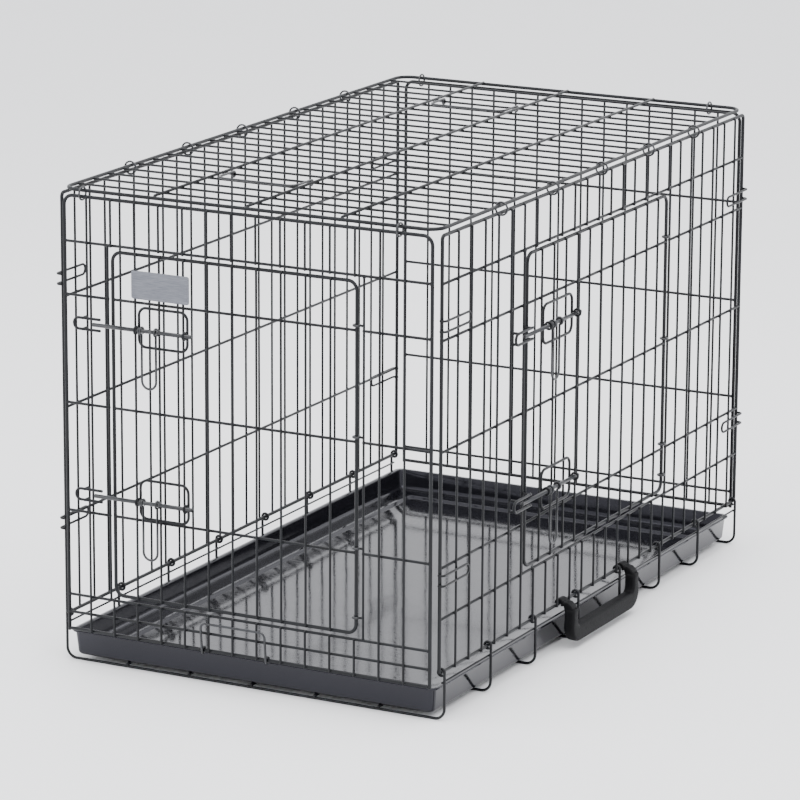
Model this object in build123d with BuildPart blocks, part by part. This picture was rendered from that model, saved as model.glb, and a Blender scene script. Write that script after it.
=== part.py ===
"""A folding wire dog crate with two doors, a slide-out tray and a carry handle.

Millimetres, +Z up. The crate stands on the plane z = 0, centred on the Z axis.
Its length runs along Y with the front end at -Y. The side door is on the +X side.
Every welded panel is a set of straight wires and bends, each one a solid of its own.
"""

import os
from math import cos, radians, sin

from build123d import *

os.makedirs("parts", exist_ok=True)

# ---------------------------------------------------------------- driving dimensions
crate_length = 914.0
crate_width = 534.0
crate_height = 610.0

frame_wire = 4.5
line_wire = 3.5
cross_wire = 3.0
ring_wire = 3.0
bolt_wire = 5.0
weld_gap = 0.02
running_gap = 0.35
wire_overrun = 1.5

hinge_line_z = 61.0
end_bottom_z = 45.0
rear_bottom_rise = 5.0
end_leg_drop = 3.0
end_side_gap = 4.0
corner_bend = 12.0
roof_corner_bend = 20.0

side_spaces = 25
end_spaces = 15
floor_spaces = 7
floor_long_spaces = 6
roof_long_spaces = 4

side_line_levels = [540.0, 471.0, 335.0, 192.0, 128.0]
left_line_levels = [467.0, 326.0, 186.0]
front_line_levels = [541.0, 474.0, 337.0, 199.0, 90.0, 67.0]
rear_line_levels = [476.0, 340.0, 205.0, 70.0]

front_door_left = -185.0
front_door_right = 153.0
front_door_bottom = 97.5
front_door_top = 533.5
front_latch_levels = [443.0, 226.0]

side_door_front = -215.0
side_door_rear = 197.0
side_door_bottom = 135.5
side_door_top = 532.5
side_latch_levels = [438.0, 227.0]

door_spaces = 10
side_door_spaces = 12
door_overrun = 1.0
jamb_gap = 3.0

front_bolt_tip, front_bolt_tail, front_pull_at = -206.0, -66.0, -126.0
front_guide_near, front_guide_far, front_guide_half, front_guide_rise = -144.0, -76.0, 24.5, 2.5
front_keeper_near, front_keeper_far = -225.0, -194.0
side_bolt_tip, side_bolt_tail, side_pull_at = -252.0, -92.0, -162.0
side_guide_near, side_guide_far, side_guide_half = -183.0, -101.0, 25.0
side_keeper_near, side_keeper_far = -267.0, -226.0
guide_bend = 10.0
pull_half = 10.0
pull_drop = 72.0
collar_radius = 4.2
collar_length = 3.0
collar_slack = 0.5
bolt_chamfer = 1.2
keeper_half = 7.0

tray_half_width = 258.0
tray_front = -446.0
tray_rear = 442.0
tray_rim_z = 40.5
tray_wall = 3.0

# ---------------------------------------------------------------- derived places
frame_radius = frame_wire / 2
line_radius = line_wire / 2
cross_radius = cross_wire / 2
ring_radius = ring_wire / 2
bolt_radius = bolt_wire / 2

cross_offset = frame_radius + cross_radius + weld_gap
line_offset = cross_offset - cross_radius - line_radius - weld_gap
outer_offset = cross_offset + cross_radius

side_x = crate_width / 2 - outer_offset
end_y = crate_length / 2 - outer_offset
end_half = side_x - frame_wire - end_side_gap
side_half = end_y - frame_wire - 3.8

roof_z = crate_height - line_wire - cross_radius
wall_top_z = roof_z - 7.0
roof_half_x = side_x - 4.0
roof_half_y = end_y - 3.8

eye_radius = frame_radius + running_gap + ring_radius
bolt_eye_radius = bolt_radius + running_gap + ring_radius
bolt_offset = outer_offset + line_wire + ring_wire + bolt_radius + running_gap + 2 * weld_gap

sill_z, head_z = side_line_levels[-1], side_line_levels[0]
front_sill_z, front_head_z = front_line_levels[-2], front_line_levels[0]
jamb_reach = frame_radius + jamb_gap + cross_wire + weld_gap
side_doorway = (
    side_door_front - jamb_reach,
    side_door_rear + jamb_reach + ring_wire,
    sill_z + line_radius,
    head_z - line_radius,
)
front_doorway = (
    front_door_left - jamb_reach,
    front_door_right + jamb_reach + ring_wire,
    front_sill_z + line_radius,
    front_head_z - line_radius,
)


# ---------------------------------------------------------------- wires
def straight(start, end, diameter):
    """A straight wire between two points, as a solid of its own."""
    run = Vector(*end) - Vector(*start)
    with BuildPart() as wire:
        with BuildSketch(Plane(origin=start, z_dir=run)):
            Circle(diameter / 2)
        extrude(amount=run.length)
    return wire.part.solids()


def bend(centre, first, second, radius, diameter, angle=90):
    """A bent wire that leaves centre + radius * first and turns towards second."""
    axis = Vector(*first).cross(Vector(*second))
    start = Vector(*centre) + Vector(*first) * radius
    with BuildPart() as wire:
        with BuildSketch(Plane(origin=start, x_dir=Vector(*first), z_dir=axis.cross(Vector(*first)))):
            Circle(diameter / 2)
        revolve(axis=Axis(centre, axis), revolution_arc=angle)
    return wire.part.solids()


def ring(centre, axis, radius, diameter):
    """A closed ring of wire round an axis."""
    side = Vector(*axis).cross(Vector(0.31, 0.57, 0.76)).normalized()
    with BuildPart() as wire:
        with BuildSketch(Plane(origin=Vector(*centre) + side * radius, z_dir=Vector(*axis).cross(side))):
            Circle(diameter / 2)
        revolve(axis=Axis(centre, axis), revolution_arc=360)
    return wire.part.solids()


def round_frame(corner, across, along, width, height, diameter, radius):
    """A rectangle of wire with round corners, given by one corner and its two directions."""
    corner, across, along = Vector(*corner), Vector(*across), Vector(*along)
    wires = []
    for far, u, v, du, dv in (
        (0, across, along, width, height),
        (1, along, across * -1, height, width),
        (2, across * -1, along * -1, width, height),
        (3, along * -1, across, height, width),
    ):
        at = corner + across * (width if far in (1, 2) else 0) + along * (height if far in (2, 3) else 0)
        wires += straight(at + u * radius, at + u * (du - radius), diameter)
        centre = at + u * (du - radius) + v * radius
        wires += bend(centre, v * -1, u, radius, diameter)
    return wires


def spread(low, high, spaces):
    """The inner division points of a span cut into equal spaces."""
    return [low + (high - low) * k / spaces for k in range(1, spaces)]


def levels(low, high, cuts):
    """The stretches of a vertical wire from low to high that miss every cut."""
    stretches = []
    for bottom, top in cuts:
        stretches.append((low, bottom))
        low = top
    return stretches + [(low, high)]


def piece(name, wires):
    """Name a set of wires that belong together and write it, each wire still its own solid."""
    group = Compound(wires)
    group.label = name
    export_step(group, f"parts/{name}.step")
    print(f"{name}: {len(wires)} solids, {sum(w.volume for w in wires) / 1000:.1f} cm3")


# ---------------------------------------------------------------- side panels
def side_panel(sign, line_levels, doorway=None):
    """A long side. Cross wires stand outside the frame and the line wires lie in its plane."""
    x = sign * side_x
    wires = []
    for z in (hinge_line_z, wall_top_z):
        wires += straight((x, -side_half - frame_radius, z), (x, side_half + frame_radius, z), frame_wire)
    low, high = hinge_line_z + frame_radius + weld_gap, wall_top_z - frame_radius - weld_gap
    for y in (-side_half, side_half):
        wires += straight((x, y, low), (x, y, high), frame_wire)
    front, rear, bottom, top = doorway or (0, 0, 0, 0)
    x_cross = sign * (side_x + cross_offset)
    for y in spread(-side_half, side_half, side_spaces):
        cuts = [(bottom, top)] if front < y < rear else []
        for z0, z1 in levels(hinge_line_z - wire_overrun, wall_top_z, cuts):
            wires += straight((x_cross, y, z0), (x_cross, y, z1), cross_wire)
    x_line = sign * (side_x + line_offset)
    reach = side_half - frame_radius - weld_gap
    for z in line_levels:
        inside = bottom + 1 < z < top - 1
        for y0, y1 in levels(-reach, reach, [(front, rear)] if inside else []):
            wires += straight((x_line, y0, z), (x_line, y1, z), line_wire)
    return wires


def side_jambs():
    """The two upright wires beside the side doorway, between its sill and its head wire."""
    wires = []
    x = side_x + line_offset
    low, high = sill_z + line_radius + weld_gap, head_z - line_radius - weld_gap
    for y in (side_doorway[0] + cross_radius + weld_gap, side_doorway[1] - cross_radius - weld_gap):
        wires += straight((x, y, low), (x, y, high), cross_wire)
    return wires


piece("right_side_panel", side_panel(1, side_line_levels, side_doorway))
piece("right_side_jambs", side_jambs())
piece("left_side_panel", side_panel(-1, left_line_levels))


# ---------------------------------------------------------------- end panels
def end_panel(sign, line_levels, bottom_z, doorway=None):
    """An end. Its top corners are bent round, and its cross wires stand outside the frame."""
    y = sign * end_y
    wires = []
    shoulder_z = wall_top_z - corner_bend
    for side in (-1, 1):
        x = side * end_half
        wires += straight((x, y, bottom_z - end_leg_drop), (x, y, shoulder_z), frame_wire)
        centre = (x - side * corner_bend, y, shoulder_z)
        wires += bend(centre, (side, 0, 0), (0, 0, 1), corner_bend, frame_wire)
    flat_half = end_half - corner_bend
    wires += straight((-flat_half, y, wall_top_z), (flat_half, y, wall_top_z), frame_wire)
    reach = end_half - frame_radius - weld_gap
    wires += straight((-reach, y, bottom_z), (reach, y, bottom_z), frame_wire)
    left, right, bottom, top = doorway or (0, 0, 0, 0)
    y_cross = sign * (end_y + cross_offset)
    for x in spread(-end_half, end_half, end_spaces):
        cuts = [(bottom, top)] if left < x < right else []
        for z0, z1 in levels(bottom_z - wire_overrun, wall_top_z, cuts):
            wires += straight((x, y_cross, z0), (x, y_cross, z1), cross_wire)
    y_line = sign * (end_y + line_offset)
    for z in line_levels:
        inside = bottom + 1 < z < top - 1
        for x0, x1 in levels(-reach, reach, [(left, right)] if inside else []):
            wires += straight((x0, y_line, z), (x1, y_line, z), line_wire)
    return wires


def front_jambs():
    """The two upright wires beside the front doorway."""
    wires = []
    y = -(end_y + line_offset)
    low, high = front_sill_z + line_radius + weld_gap, front_head_z - line_radius - weld_gap
    for x in (front_doorway[0] + cross_radius + weld_gap, front_doorway[1] - cross_radius - weld_gap):
        wires += straight((x, y, low), (x, y, high), cross_wire)
    return wires


piece("front_end_panel", end_panel(-1, front_line_levels, end_bottom_z, front_doorway))
piece("front_end_jambs", front_jambs())
piece("rear_end_panel", end_panel(1, rear_line_levels, end_bottom_z + rear_bottom_rise))


# ---------------------------------------------------------------- roof panel
roof_cross_z = roof_z - frame_radius + cross_radius + weld_gap
roof_line_z = roof_cross_z + cross_radius + line_radius + weld_gap


def roof_panel():
    """The top: a round-cornered frame, cross wires between its long edges and long wires on them."""
    corner = (-roof_half_x, -roof_half_y, roof_z)
    across, along = 2 * roof_half_x, 2 * roof_half_y
    wires = round_frame(corner, (1, 0, 0), (0, 1, 0), across, along, frame_wire, roof_corner_bend)
    reach_x, reach_y = roof_half_x - frame_radius - weld_gap, roof_half_y - frame_radius - weld_gap
    for y in spread(-roof_half_y, roof_half_y, side_spaces):
        wires += straight((-reach_x, y, roof_cross_z), (reach_x, y, roof_cross_z), cross_wire)
    for x in spread(-roof_half_x, roof_half_x, roof_long_spaces):
        wires += straight((x, -reach_y, roof_line_z), (x, reach_y, roof_line_z), line_wire)
    return wires


piece("roof_panel", roof_panel())


# ---------------------------------------------------------------- floor panel
post_x = side_x + frame_radius + running_gap + line_radius
post_bend = 13.0
ground_z = line_radius
post_gap = 1.1
long_overrun = 3.0
rail_z = hinge_line_z - 13.0
rail_wire = 2.5
rail_overrun = 2.0
floor_half = side_half - 6.0
floor_places = [-floor_half, floor_half] + spread(-floor_half, floor_half, floor_spaces)


def floor_panel():
    """The bottom grid: U wires whose ends rise beside the tray, plain cross wires and long wires."""
    wires = []
    for y in floor_places:
        wires += straight((post_bend - post_x, y, ground_z), (post_x - post_bend, y, ground_z), line_wire)
        for side in (-1, 1):
            centre = (side * (post_x - post_bend), y, ground_z + post_bend)
            wires += bend(centre, (0, 0, -1), (side, 0, 0), post_bend, line_wire)
            top = hinge_line_z - eye_radius - post_gap
            wires += straight((side * post_x, y, centre[2]), (side * post_x, y, top), line_wire)
    for x in spread(-post_x, post_x, floor_long_spaces):
        z = ground_z + line_wire + weld_gap
        wires += straight((x, -floor_half - long_overrun, z), (x, floor_half + long_overrun, z), line_wire)
    return wires


def side_rails():
    """A thin rail along each side, welded inside the posts just under the hinge line."""
    wires = []
    for side in (-1, 1):
        x = side * (post_x - line_radius - rail_wire / 2 - weld_gap)
        reach = floor_half + rail_overrun
        wires += straight((x, -reach, rail_z), (x, reach, rail_z), rail_wire)
    return wires


def hinge_eyes(side):
    """The eyes at the tops of the posts, which go round a side panel's bottom wire."""
    wires = []
    for y in floor_places:
        wires += ring((side * side_x, y, hinge_line_z), (0, 1, 0), eye_radius, ring_wire)
    return wires


piece("floor_panel", floor_panel())
piece("floor_side_rails", side_rails())
piece("right_floor_hinge_eyes", hinge_eyes(1))
piece("left_floor_hinge_eyes", hinge_eyes(-1))


# ---------------------------------------------------------------- rings between roof and walls
roof_ring_radius = 7.9
roof_ring_wire = 2.5
roof_ring_step = 4
hanger_places = [-228.0, 209.0]


def side_rings(side):
    """Rings that hold the roof's long edge to the top wire of a side panel."""
    wires = []
    centre_x = side * (side_x + roof_half_x) / 2
    centre_z = (roof_z + wall_top_z) / 2
    pitch = 2 * side_half / side_spaces
    for k in range(roof_ring_step, side_spaces - 1, roof_ring_step):
        y = (k + 0.5) * pitch - side_half
        wires += ring((centre_x, y, centre_z), (0, 1, 0), roof_ring_radius, roof_ring_wire)
    return wires


def end_rings(sign):
    """The two rings that hang an end panel on the roof's end wire."""
    wires = []
    centre_y = sign * (end_y + roof_half_y) / 2
    centre_z = (roof_z + wall_top_z) / 2
    for x in hanger_places:
        wires += ring((x, centre_y, centre_z), (1, 0, 0), roof_ring_radius, roof_ring_wire)
    return wires


piece("right_roof_rings", side_rings(1))
piece("left_roof_rings", side_rings(-1))
piece("front_hanger_rings", end_rings(-1))
piece("rear_hanger_rings", end_rings(1))


# ---------------------------------------------------------------- corner hooks
hook_levels = [490.0, 178.0]
hook_spread = 13.0
hook_turn = 4.0
hook_tip_past = 1.0
hook_pitches = 1.6


def corner_hooks(side):
    """Hairpins on a side's outer face whose two fingers are bent in at each corner."""
    wires = []
    x = side * (side_x + outer_offset + cross_radius + weld_gap)
    pitch = 2 * side_half / side_spaces
    tip_reach = side * (side_x - hook_tip_past)
    for end in (-1, 1):
        y_weld = end * (side_half - hook_pitches * pitch)
        y_tip = end * (side_half + frame_radius + cross_radius + weld_gap)
        for z in hook_levels:
            for rise in (-1, 1):
                level = z + rise * hook_spread / 2
                wires += straight((x, y_weld, level), (x, y_tip - end * hook_turn, level), cross_wire)
                centre = (x - side * hook_turn, y_tip - end * hook_turn, level)
                wires += bend(centre, (side, 0, 0), (0, end, 0), hook_turn, cross_wire)
                shoulder = (x - side * hook_turn, y_tip, level)
                wires += straight(shoulder, (tip_reach, y_tip, level), cross_wire)
            with BuildPart() as closed_end:
                with BuildSketch(Plane(origin=(x, y_weld, z + hook_spread / 2), z_dir=(0, -end, 0))):
                    Circle(cross_radius)
                revolve(axis=Axis((x, y_weld, z), (1, 0, 0)), revolution_arc=-180 * end)
            wires += closed_end.part.solids()
    return wires


piece("right_corner_hooks", corner_hooks(1))
piece("left_corner_hooks", corner_hooks(-1))


# ---------------------------------------------------------------- doors
def door_wires(origin, across, out, low, high, bottom, top, spaces, line_levels):
    """A door: a round-cornered frame, cross wires on its outer face, line wires between its stiles."""
    origin, across, out, up = Vector(*origin), Vector(*across), Vector(*out), Vector(0, 0, 1)
    corner = origin + across * low + up * bottom
    wires = round_frame(corner, across, up, high - low, top - bottom, frame_wire, corner_bend)
    for at in spread(low, high, spaces):
        foot = origin + across * at + out * cross_offset
        wires += straight(foot + up * (bottom - door_overrun), foot + up * (top + door_overrun), cross_wire)
    gap = frame_radius + weld_gap
    for z in line_levels:
        level = origin + out * line_offset + up * z
        wires += straight(level + across * (low + gap), level + across * (high - gap), line_wire)
    return wires


def door_eyes(origin, across, at, heights):
    """Eyes on the panel, one above another, that go round a door's hinge stile."""
    wires = []
    for z in heights:
        centre = Vector(*origin) + Vector(*across) * at + Vector(0, 0, z)
        wires += ring(centre, (0, 0, 1), eye_radius, ring_wire)
    return wires


def eye_tails(origin, across, at, reach, heights):
    """Short wires from the jamb to each eye."""
    wires = []
    for z in heights:
        near = at + eye_radius + ring_radius + weld_gap
        start = Vector(*origin) + Vector(*across) * near + Vector(0, 0, z)
        wires += straight(start, start + Vector(*across) * reach, ring_wire)
    return wires


front_plane_origin = (0, -end_y, 0)
side_plane_origin = (side_x, 0, 0)
front_eye_heights = [480.0, 343.0, 205.0, 118.0]
side_eye_heights = [477.0, 341.0, 198.0, 156.0]
tail_reach = jamb_gap - 2 * running_gap

front_lines = front_line_levels[1:4]
piece(
    "front_door",
    door_wires(
        front_plane_origin, (1, 0, 0), (0, -1, 0), front_door_left, front_door_right,
        front_door_bottom, front_door_top, door_spaces, front_lines,
    ),
)
piece("front_door_hinge_eyes", door_eyes(front_plane_origin, (1, 0, 0), front_door_right, front_eye_heights))
side_lines = side_line_levels[1:4]
piece(
    "side_door",
    door_wires(
        side_plane_origin, (0, 1, 0), (1, 0, 0), side_door_front, side_door_rear,
        side_door_bottom, side_door_top, side_door_spaces, side_lines,
    ),
)
piece("side_door_hinge_eyes", door_eyes(side_plane_origin, (0, 1, 0), side_door_rear, side_eye_heights))
front_tails = eye_tails(front_plane_origin, (1, 0, 0), front_door_right, tail_reach, front_eye_heights)
side_tails = eye_tails(side_plane_origin, (0, 1, 0), side_door_rear, tail_reach, side_eye_heights)
piece("front_hinge_tails", front_tails)
piece("side_hinge_tails", side_tails)


# ---------------------------------------------------------------- latches
def latch_guide(base, along, out, near, far, half_height, rise=0):
    """A rounded loop flat on the door's cross wires, with an eye for the bolt on each upright."""
    base, along, out, up = Vector(*base), Vector(*along), Vector(*out), Vector(0, 0, 1)
    flat = base + out * (outer_offset + line_radius + weld_gap)
    corner = flat + along * near + up * (rise - half_height)
    wires = round_frame(corner, along, up, far - near, 2 * half_height, line_wire, guide_bend)
    for at in (near, far):
        wires += ring(base + along * at + out * bolt_offset, along, bolt_eye_radius, ring_wire)
    return wires


def latch_bolt(base, along, out, tip, tail, pull_at):
    """The sliding rod, domed at its tip, with a collar on each side of its pull."""
    base, along, out = Vector(*base), Vector(*along), Vector(*out)
    line = base + out * bolt_offset
    collar_gap = pull_half + ring_radius + collar_slack
    with BuildPart() as bolt:
        with BuildSketch(Plane(origin=line + along * tail, z_dir=along * -1)):
            Circle(bolt_radius)
        extrude(amount=tail - tip)
        chamfer(bolt.edges().sort_by(Axis(line, along))[0], bolt_chamfer)
        for at in (pull_at - collar_gap - collar_length, pull_at + collar_gap):
            with BuildSketch(Plane(origin=line + along * at, z_dir=along)):
                Circle(collar_radius)
            extrude(amount=collar_length)
    return bolt.part.solids()


def latch_pull(base, along, out, pull_at):
    """The hanging U that moves the bolt: two eyes on the rod, two legs and a round foot."""
    base, along, out, up = Vector(*base), Vector(*along), Vector(*out), Vector(0, 0, 1)
    line = base + out * bolt_offset
    wires = []
    foot = up * -(pull_drop - pull_half)
    for side in (-1, 1):
        at = line + along * (pull_at + side * pull_half)
        wires += ring(at, along, bolt_eye_radius, ring_wire)
        wires += straight(at - up * (bolt_eye_radius + ring_radius + weld_gap), at + foot, ring_wire)
    centre = line + along * pull_at + foot
    wires += bend(centre, along, up * -1, pull_half, ring_wire, 180)
    return wires


def latch_keeper(base, along, out, near, far, feet):
    """The fork on the panel: two prongs above and below the bolt, a round end and their feet."""
    base, along, out, up = Vector(*base), Vector(*along), Vector(*out), Vector(0, 0, 1)
    level = base + out * bolt_offset
    wires = []
    for rise in (-1, 1):
        start = level + up * (rise * keeper_half)
        wires += straight(start + along * near, start + along * far, line_wire)
        for at in feet:
            top = start + along * at - out * (line_radius + weld_gap)
            foot = top - out * (bolt_offset - outer_offset - line_radius - 2 * weld_gap)
            wires += straight(foot, top, line_wire)
    wires += bend(level + along * near, up, along * -1, keeper_half, line_wire, 180)
    return wires


across_front, out_front = (1, 0, 0), (0, -1, 0)
along_side, out_side = (0, 1, 0), (1, 0, 0)
first_upright = spread(-end_half, end_half, end_spaces)[0]
keeper_uprights = spread(-side_half, side_half, side_spaces)[4:6]
front_guides, side_guides, front_keepers, side_keepers = [], [], [], []
for place, z in zip(("upper", "lower"), front_latch_levels):
    base = (0, -end_y, z)
    bolt = latch_bolt(base, across_front, out_front, front_bolt_tip, front_bolt_tail, front_pull_at)
    piece(f"front_{place}_bolt", bolt)
    piece(f"front_{place}_pull", latch_pull(base, across_front, out_front, front_pull_at))
    front_guides += latch_guide(
        base, across_front, out_front, front_guide_near, front_guide_far, front_guide_half, front_guide_rise
    )
    front_keepers += latch_keeper(
        base, across_front, out_front, front_keeper_near, front_keeper_far, [first_upright]
    )
for place, z in zip(("upper", "lower"), side_latch_levels):
    base = (side_x, 0, z)
    bolt = latch_bolt(base, along_side, out_side, side_bolt_tip, side_bolt_tail, side_pull_at)
    piece(f"side_{place}_bolt", bolt)
    piece(f"side_{place}_pull", latch_pull(base, along_side, out_side, side_pull_at))
    side_guides += latch_guide(base, along_side, out_side, side_guide_near, side_guide_far, side_guide_half)
    side_keepers += latch_keeper(
        base, along_side, out_side, side_keeper_near, side_keeper_far, keeper_uprights
    )
piece("front_latch_guides", front_guides)
piece("front_latch_keepers", front_keepers)
piece("side_latch_guides", side_guides)
piece("side_latch_keepers", side_keepers)


# ---------------------------------------------------------------- tray
tray_rest = 0.1
tray_floor_z = ground_z + line_wire + weld_gap + line_radius + tray_rest
tray_draft = 2.5
tray_corner = 8.0
tray_lip = 4.0
tray_border = 40.0
tray_step = 4.0
tray_edge = 2.5
tray_taper = 4.0
tray_length = tray_rear - tray_front
tray_middle = (tray_rear + tray_front) / 2
tray_depth = tray_rim_z - tray_floor_z

with BuildPart() as tray:
    with BuildSketch(Plane(origin=(0, tray_middle, tray_floor_z))):
        RectangleRounded(
            2 * (tray_half_width - tray_lip - tray_draft),
            tray_length - 2 * (tray_lip + tray_draft),
            tray_corner,
        )
    extrude(amount=tray_depth, taper=-tray_taper)
    with BuildSketch(Plane(origin=(0, tray_middle, tray_rim_z))):
        RectangleRounded(2 * tray_half_width, tray_length, tray_corner + tray_lip)
    extrude(amount=-tray_edge)
    with BuildSketch(Plane(origin=(0, tray_middle, tray_rim_z))):
        RectangleRounded(
            2 * (tray_half_width - tray_lip - tray_wall),
            tray_length - 2 * (tray_lip + tray_wall),
            tray_corner,
        )
    extrude(amount=-(tray_depth - tray_wall - tray_step), taper=tray_taper, mode=Mode.SUBTRACT)
    with BuildSketch(Plane(origin=(0, tray_middle, tray_floor_z + tray_wall))):
        RectangleRounded(
            2 * (tray_half_width - tray_border),
            tray_length - 2 * tray_border,
            tray_corner,
        )
    extrude(amount=tray_step, mode=Mode.SUBTRACT)
tray.part.label = "tray"
export_step(tray.part, "parts/tray.step")
print(f"tray: {tray.part.volume / 1000:.1f} cm3")


# ---------------------------------------------------------------- tray stop
stop_left, stop_right = -60.0, 30.0
stop_leg = 37.0
stop_lean = 6.0
stop_bend = 7.0


def tray_stop():
    """A U of wire on the front end's bottom wire, with an eye on each leg, swung up off the tray."""
    wires = []
    lean = radians(stop_lean)
    rise = Vector(0, -sin(lean), cos(lean))
    out = Vector(0, -cos(lean), -sin(lean))
    pivot = Vector(0, -end_y, end_bottom_z)
    root = pivot + out * eye_radius
    for x, inward in ((stop_left, 1), (stop_right, -1)):
        at = Vector(x, 0, 0)
        wires += ring(pivot + at, (1, 0, 0), eye_radius, ring_wire)
        foot = root + at
        low, high = ring_radius + weld_gap, stop_leg - stop_bend
        wires += straight(foot + rise * low, foot + rise * high, ring_wire)
        centre = root + at + rise * (stop_leg - stop_bend) + Vector(inward * stop_bend, 0, 0)
        wires += bend(centre, (-inward, 0, 0), rise, stop_bend, ring_wire)
    bar = root + rise * stop_leg
    bar_left, bar_right = Vector(stop_left + stop_bend, 0, 0), Vector(stop_right - stop_bend, 0, 0)
    wires += straight(bar + bar_left, bar + bar_right, ring_wire)
    return wires


piece("tray_stop", tray_stop())


# ---------------------------------------------------------------- roof bails
bail_slack = 0.3
bail_radius = cross_radius + bail_slack + ring_radius
bail_left, bail_right = -119.0, -9.0
bail_reach = 44.0
bail_turn = 12.0
front_bail_wire, rear_bail_wire = 5, 4


def roof_bail(hinge_y):
    """A U of wire that lies on the roof and swings up about one of its cross wires."""
    wires = []
    z = roof_cross_z
    flat = z + bail_radius
    far = hinge_y - bail_reach
    for x, inward in ((bail_left, 1), (bail_right, -1)):
        wires += ring((x, hinge_y, z), (1, 0, 0), bail_radius, ring_wire)
        wires += straight((x, hinge_y - ring_radius - weld_gap, flat), (x, far + bail_turn, flat), ring_wire)
        centre = (x + inward * bail_turn, far + bail_turn, flat)
        wires += bend(centre, (-inward, 0, 0), (0, -1, 0), bail_turn, ring_wire)
    wires += straight((bail_left + bail_turn, far, flat), (bail_right - bail_turn, far, flat), ring_wire)
    return wires


roof_pitch = 2 * roof_half_y / side_spaces
piece("front_roof_bail", roof_bail(-roof_half_y + front_bail_wire * roof_pitch))
piece("rear_roof_bail", roof_bail(roof_half_y - rear_bail_wire * roof_pitch))


# ---------------------------------------------------------------- label plate
plate_left, plate_right = -155.0, -74.0
plate_bottom, plate_top = 480.0, 515.0
plate_thickness = 1.0
plate_rim = 2.0
plate_rim_height = 0.5
plate_corner, plate_inner_corner = 3.0, 2.0
plate_gap = 0.1

with BuildPart() as label_plate:
    plate_y = -(end_y + outer_offset + plate_gap)
    plate_middle = ((plate_left + plate_right) / 2, plate_y, (plate_bottom + plate_top) / 2)
    with BuildSketch(Plane(origin=plate_middle, x_dir=(1, 0, 0), z_dir=(0, -1, 0))):
        RectangleRounded(plate_right - plate_left, plate_top - plate_bottom, plate_corner)
    extrude(amount=plate_thickness)
    with BuildSketch(Plane(origin=plate_middle, x_dir=(1, 0, 0), z_dir=(0, -1, 0)).offset(plate_thickness)):
        RectangleRounded(plate_right - plate_left, plate_top - plate_bottom, plate_corner)
        RectangleRounded(
            plate_right - plate_left - 2 * plate_rim,
            plate_top - plate_bottom - 2 * plate_rim,
            plate_inner_corner,
            mode=Mode.SUBTRACT,
        )
    extrude(amount=plate_rim_height)
label_plate.part.label = "label_plate"
export_step(label_plate.part, "parts/label_plate.step")
print(f"label_plate: {label_plate.part.volume / 1000:.1f} cm3")


# ---------------------------------------------------------------- carry handle
handle_front, handle_rear = -112.0, 85.5
handle_clip = 15.0
handle_bore = frame_radius + running_gap
handle_inner_x = post_x + line_radius + 1.0
handle_depth = 15.0
handle_round = 4.0
hub_half_width, hub_half_height = 5.5, 6.2
shoulder_drop = 6.0
grip_bottom_z, grip_top_z = 9.0, 31.0
window_height = 100.0
window_corner = 8.0
cut_margin = 20.0

with BuildPart() as carry_handle:
    with BuildSketch(Plane(origin=(0, handle_rear, 0), x_dir=(1, 0, 0), z_dir=(0, -1, 0))):
        with BuildLine():
            Polyline(
                (handle_inner_x, grip_bottom_z),
                (handle_inner_x + handle_depth, grip_bottom_z),
                (handle_inner_x + handle_depth, hinge_line_z - shoulder_drop),
                (side_x + hub_half_width, hinge_line_z + hub_half_height),
                (side_x - hub_half_width, hinge_line_z + hub_half_height),
                (side_x - hub_half_width, hinge_line_z - hub_half_height),
                (handle_inner_x, hinge_line_z - hub_half_height),
                close=True,
            )
        make_face()
    extrude(amount=handle_rear - handle_front)
    fillet(carry_handle.edges().filter_by(Axis.Y).group_by(Axis.X)[-1], handle_round)
    window = Plane(
        origin=(side_x - cut_margin, (handle_front + handle_rear) / 2, grip_top_z + window_height / 2),
        x_dir=(0, 1, 0),
        z_dir=(1, 0, 0),
    )
    with BuildSketch(window):
        RectangleRounded(handle_rear - handle_front - 2 * handle_clip, window_height, window_corner)
    extrude(amount=handle_depth + 2 * cut_margin, mode=Mode.SUBTRACT)
    bore_start = (side_x, handle_rear + cut_margin, hinge_line_z)
    with BuildSketch(Plane(origin=bore_start, x_dir=(1, 0, 0), z_dir=(0, -1, 0))):
        Circle(handle_bore)
    extrude(amount=handle_rear - handle_front + 2 * cut_margin, mode=Mode.SUBTRACT)
carry_handle.part.label = "carry_handle"
export_step(carry_handle.part, "parts/carry_handle.step")
print(f"carry_handle: {carry_handle.part.volume / 1000:.1f} cm3")
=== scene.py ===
# %% [markdown]
# # A folding wire dog crate
# The crate is nearly all wire: well over two hundred drawn steel rods, bent, crossed and spot
# welded into panels, then dipped and coated black. So nearly every shape here is one idea, a
# round section carried along a path, and the lesson is how to write that idea once, for whole
# arrays of points, and then lay out panels with it. The tray is the same idea again: a wall's
# profile carried round a rounded rectangle.

import bpy
import numpy as np
from mathutils import Matrix, Vector


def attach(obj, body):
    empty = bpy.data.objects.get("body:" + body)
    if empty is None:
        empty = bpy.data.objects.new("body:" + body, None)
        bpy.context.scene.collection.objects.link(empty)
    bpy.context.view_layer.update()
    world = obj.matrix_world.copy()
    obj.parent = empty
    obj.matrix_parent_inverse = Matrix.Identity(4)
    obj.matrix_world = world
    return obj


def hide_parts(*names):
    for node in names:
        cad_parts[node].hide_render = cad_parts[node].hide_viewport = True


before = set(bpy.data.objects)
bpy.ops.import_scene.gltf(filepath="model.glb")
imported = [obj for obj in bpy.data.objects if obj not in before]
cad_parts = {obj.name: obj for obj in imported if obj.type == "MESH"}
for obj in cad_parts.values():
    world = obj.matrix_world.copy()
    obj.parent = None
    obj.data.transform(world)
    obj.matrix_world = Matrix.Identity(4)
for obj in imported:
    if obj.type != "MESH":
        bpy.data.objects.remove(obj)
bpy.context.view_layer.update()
MM = 0.001

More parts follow.
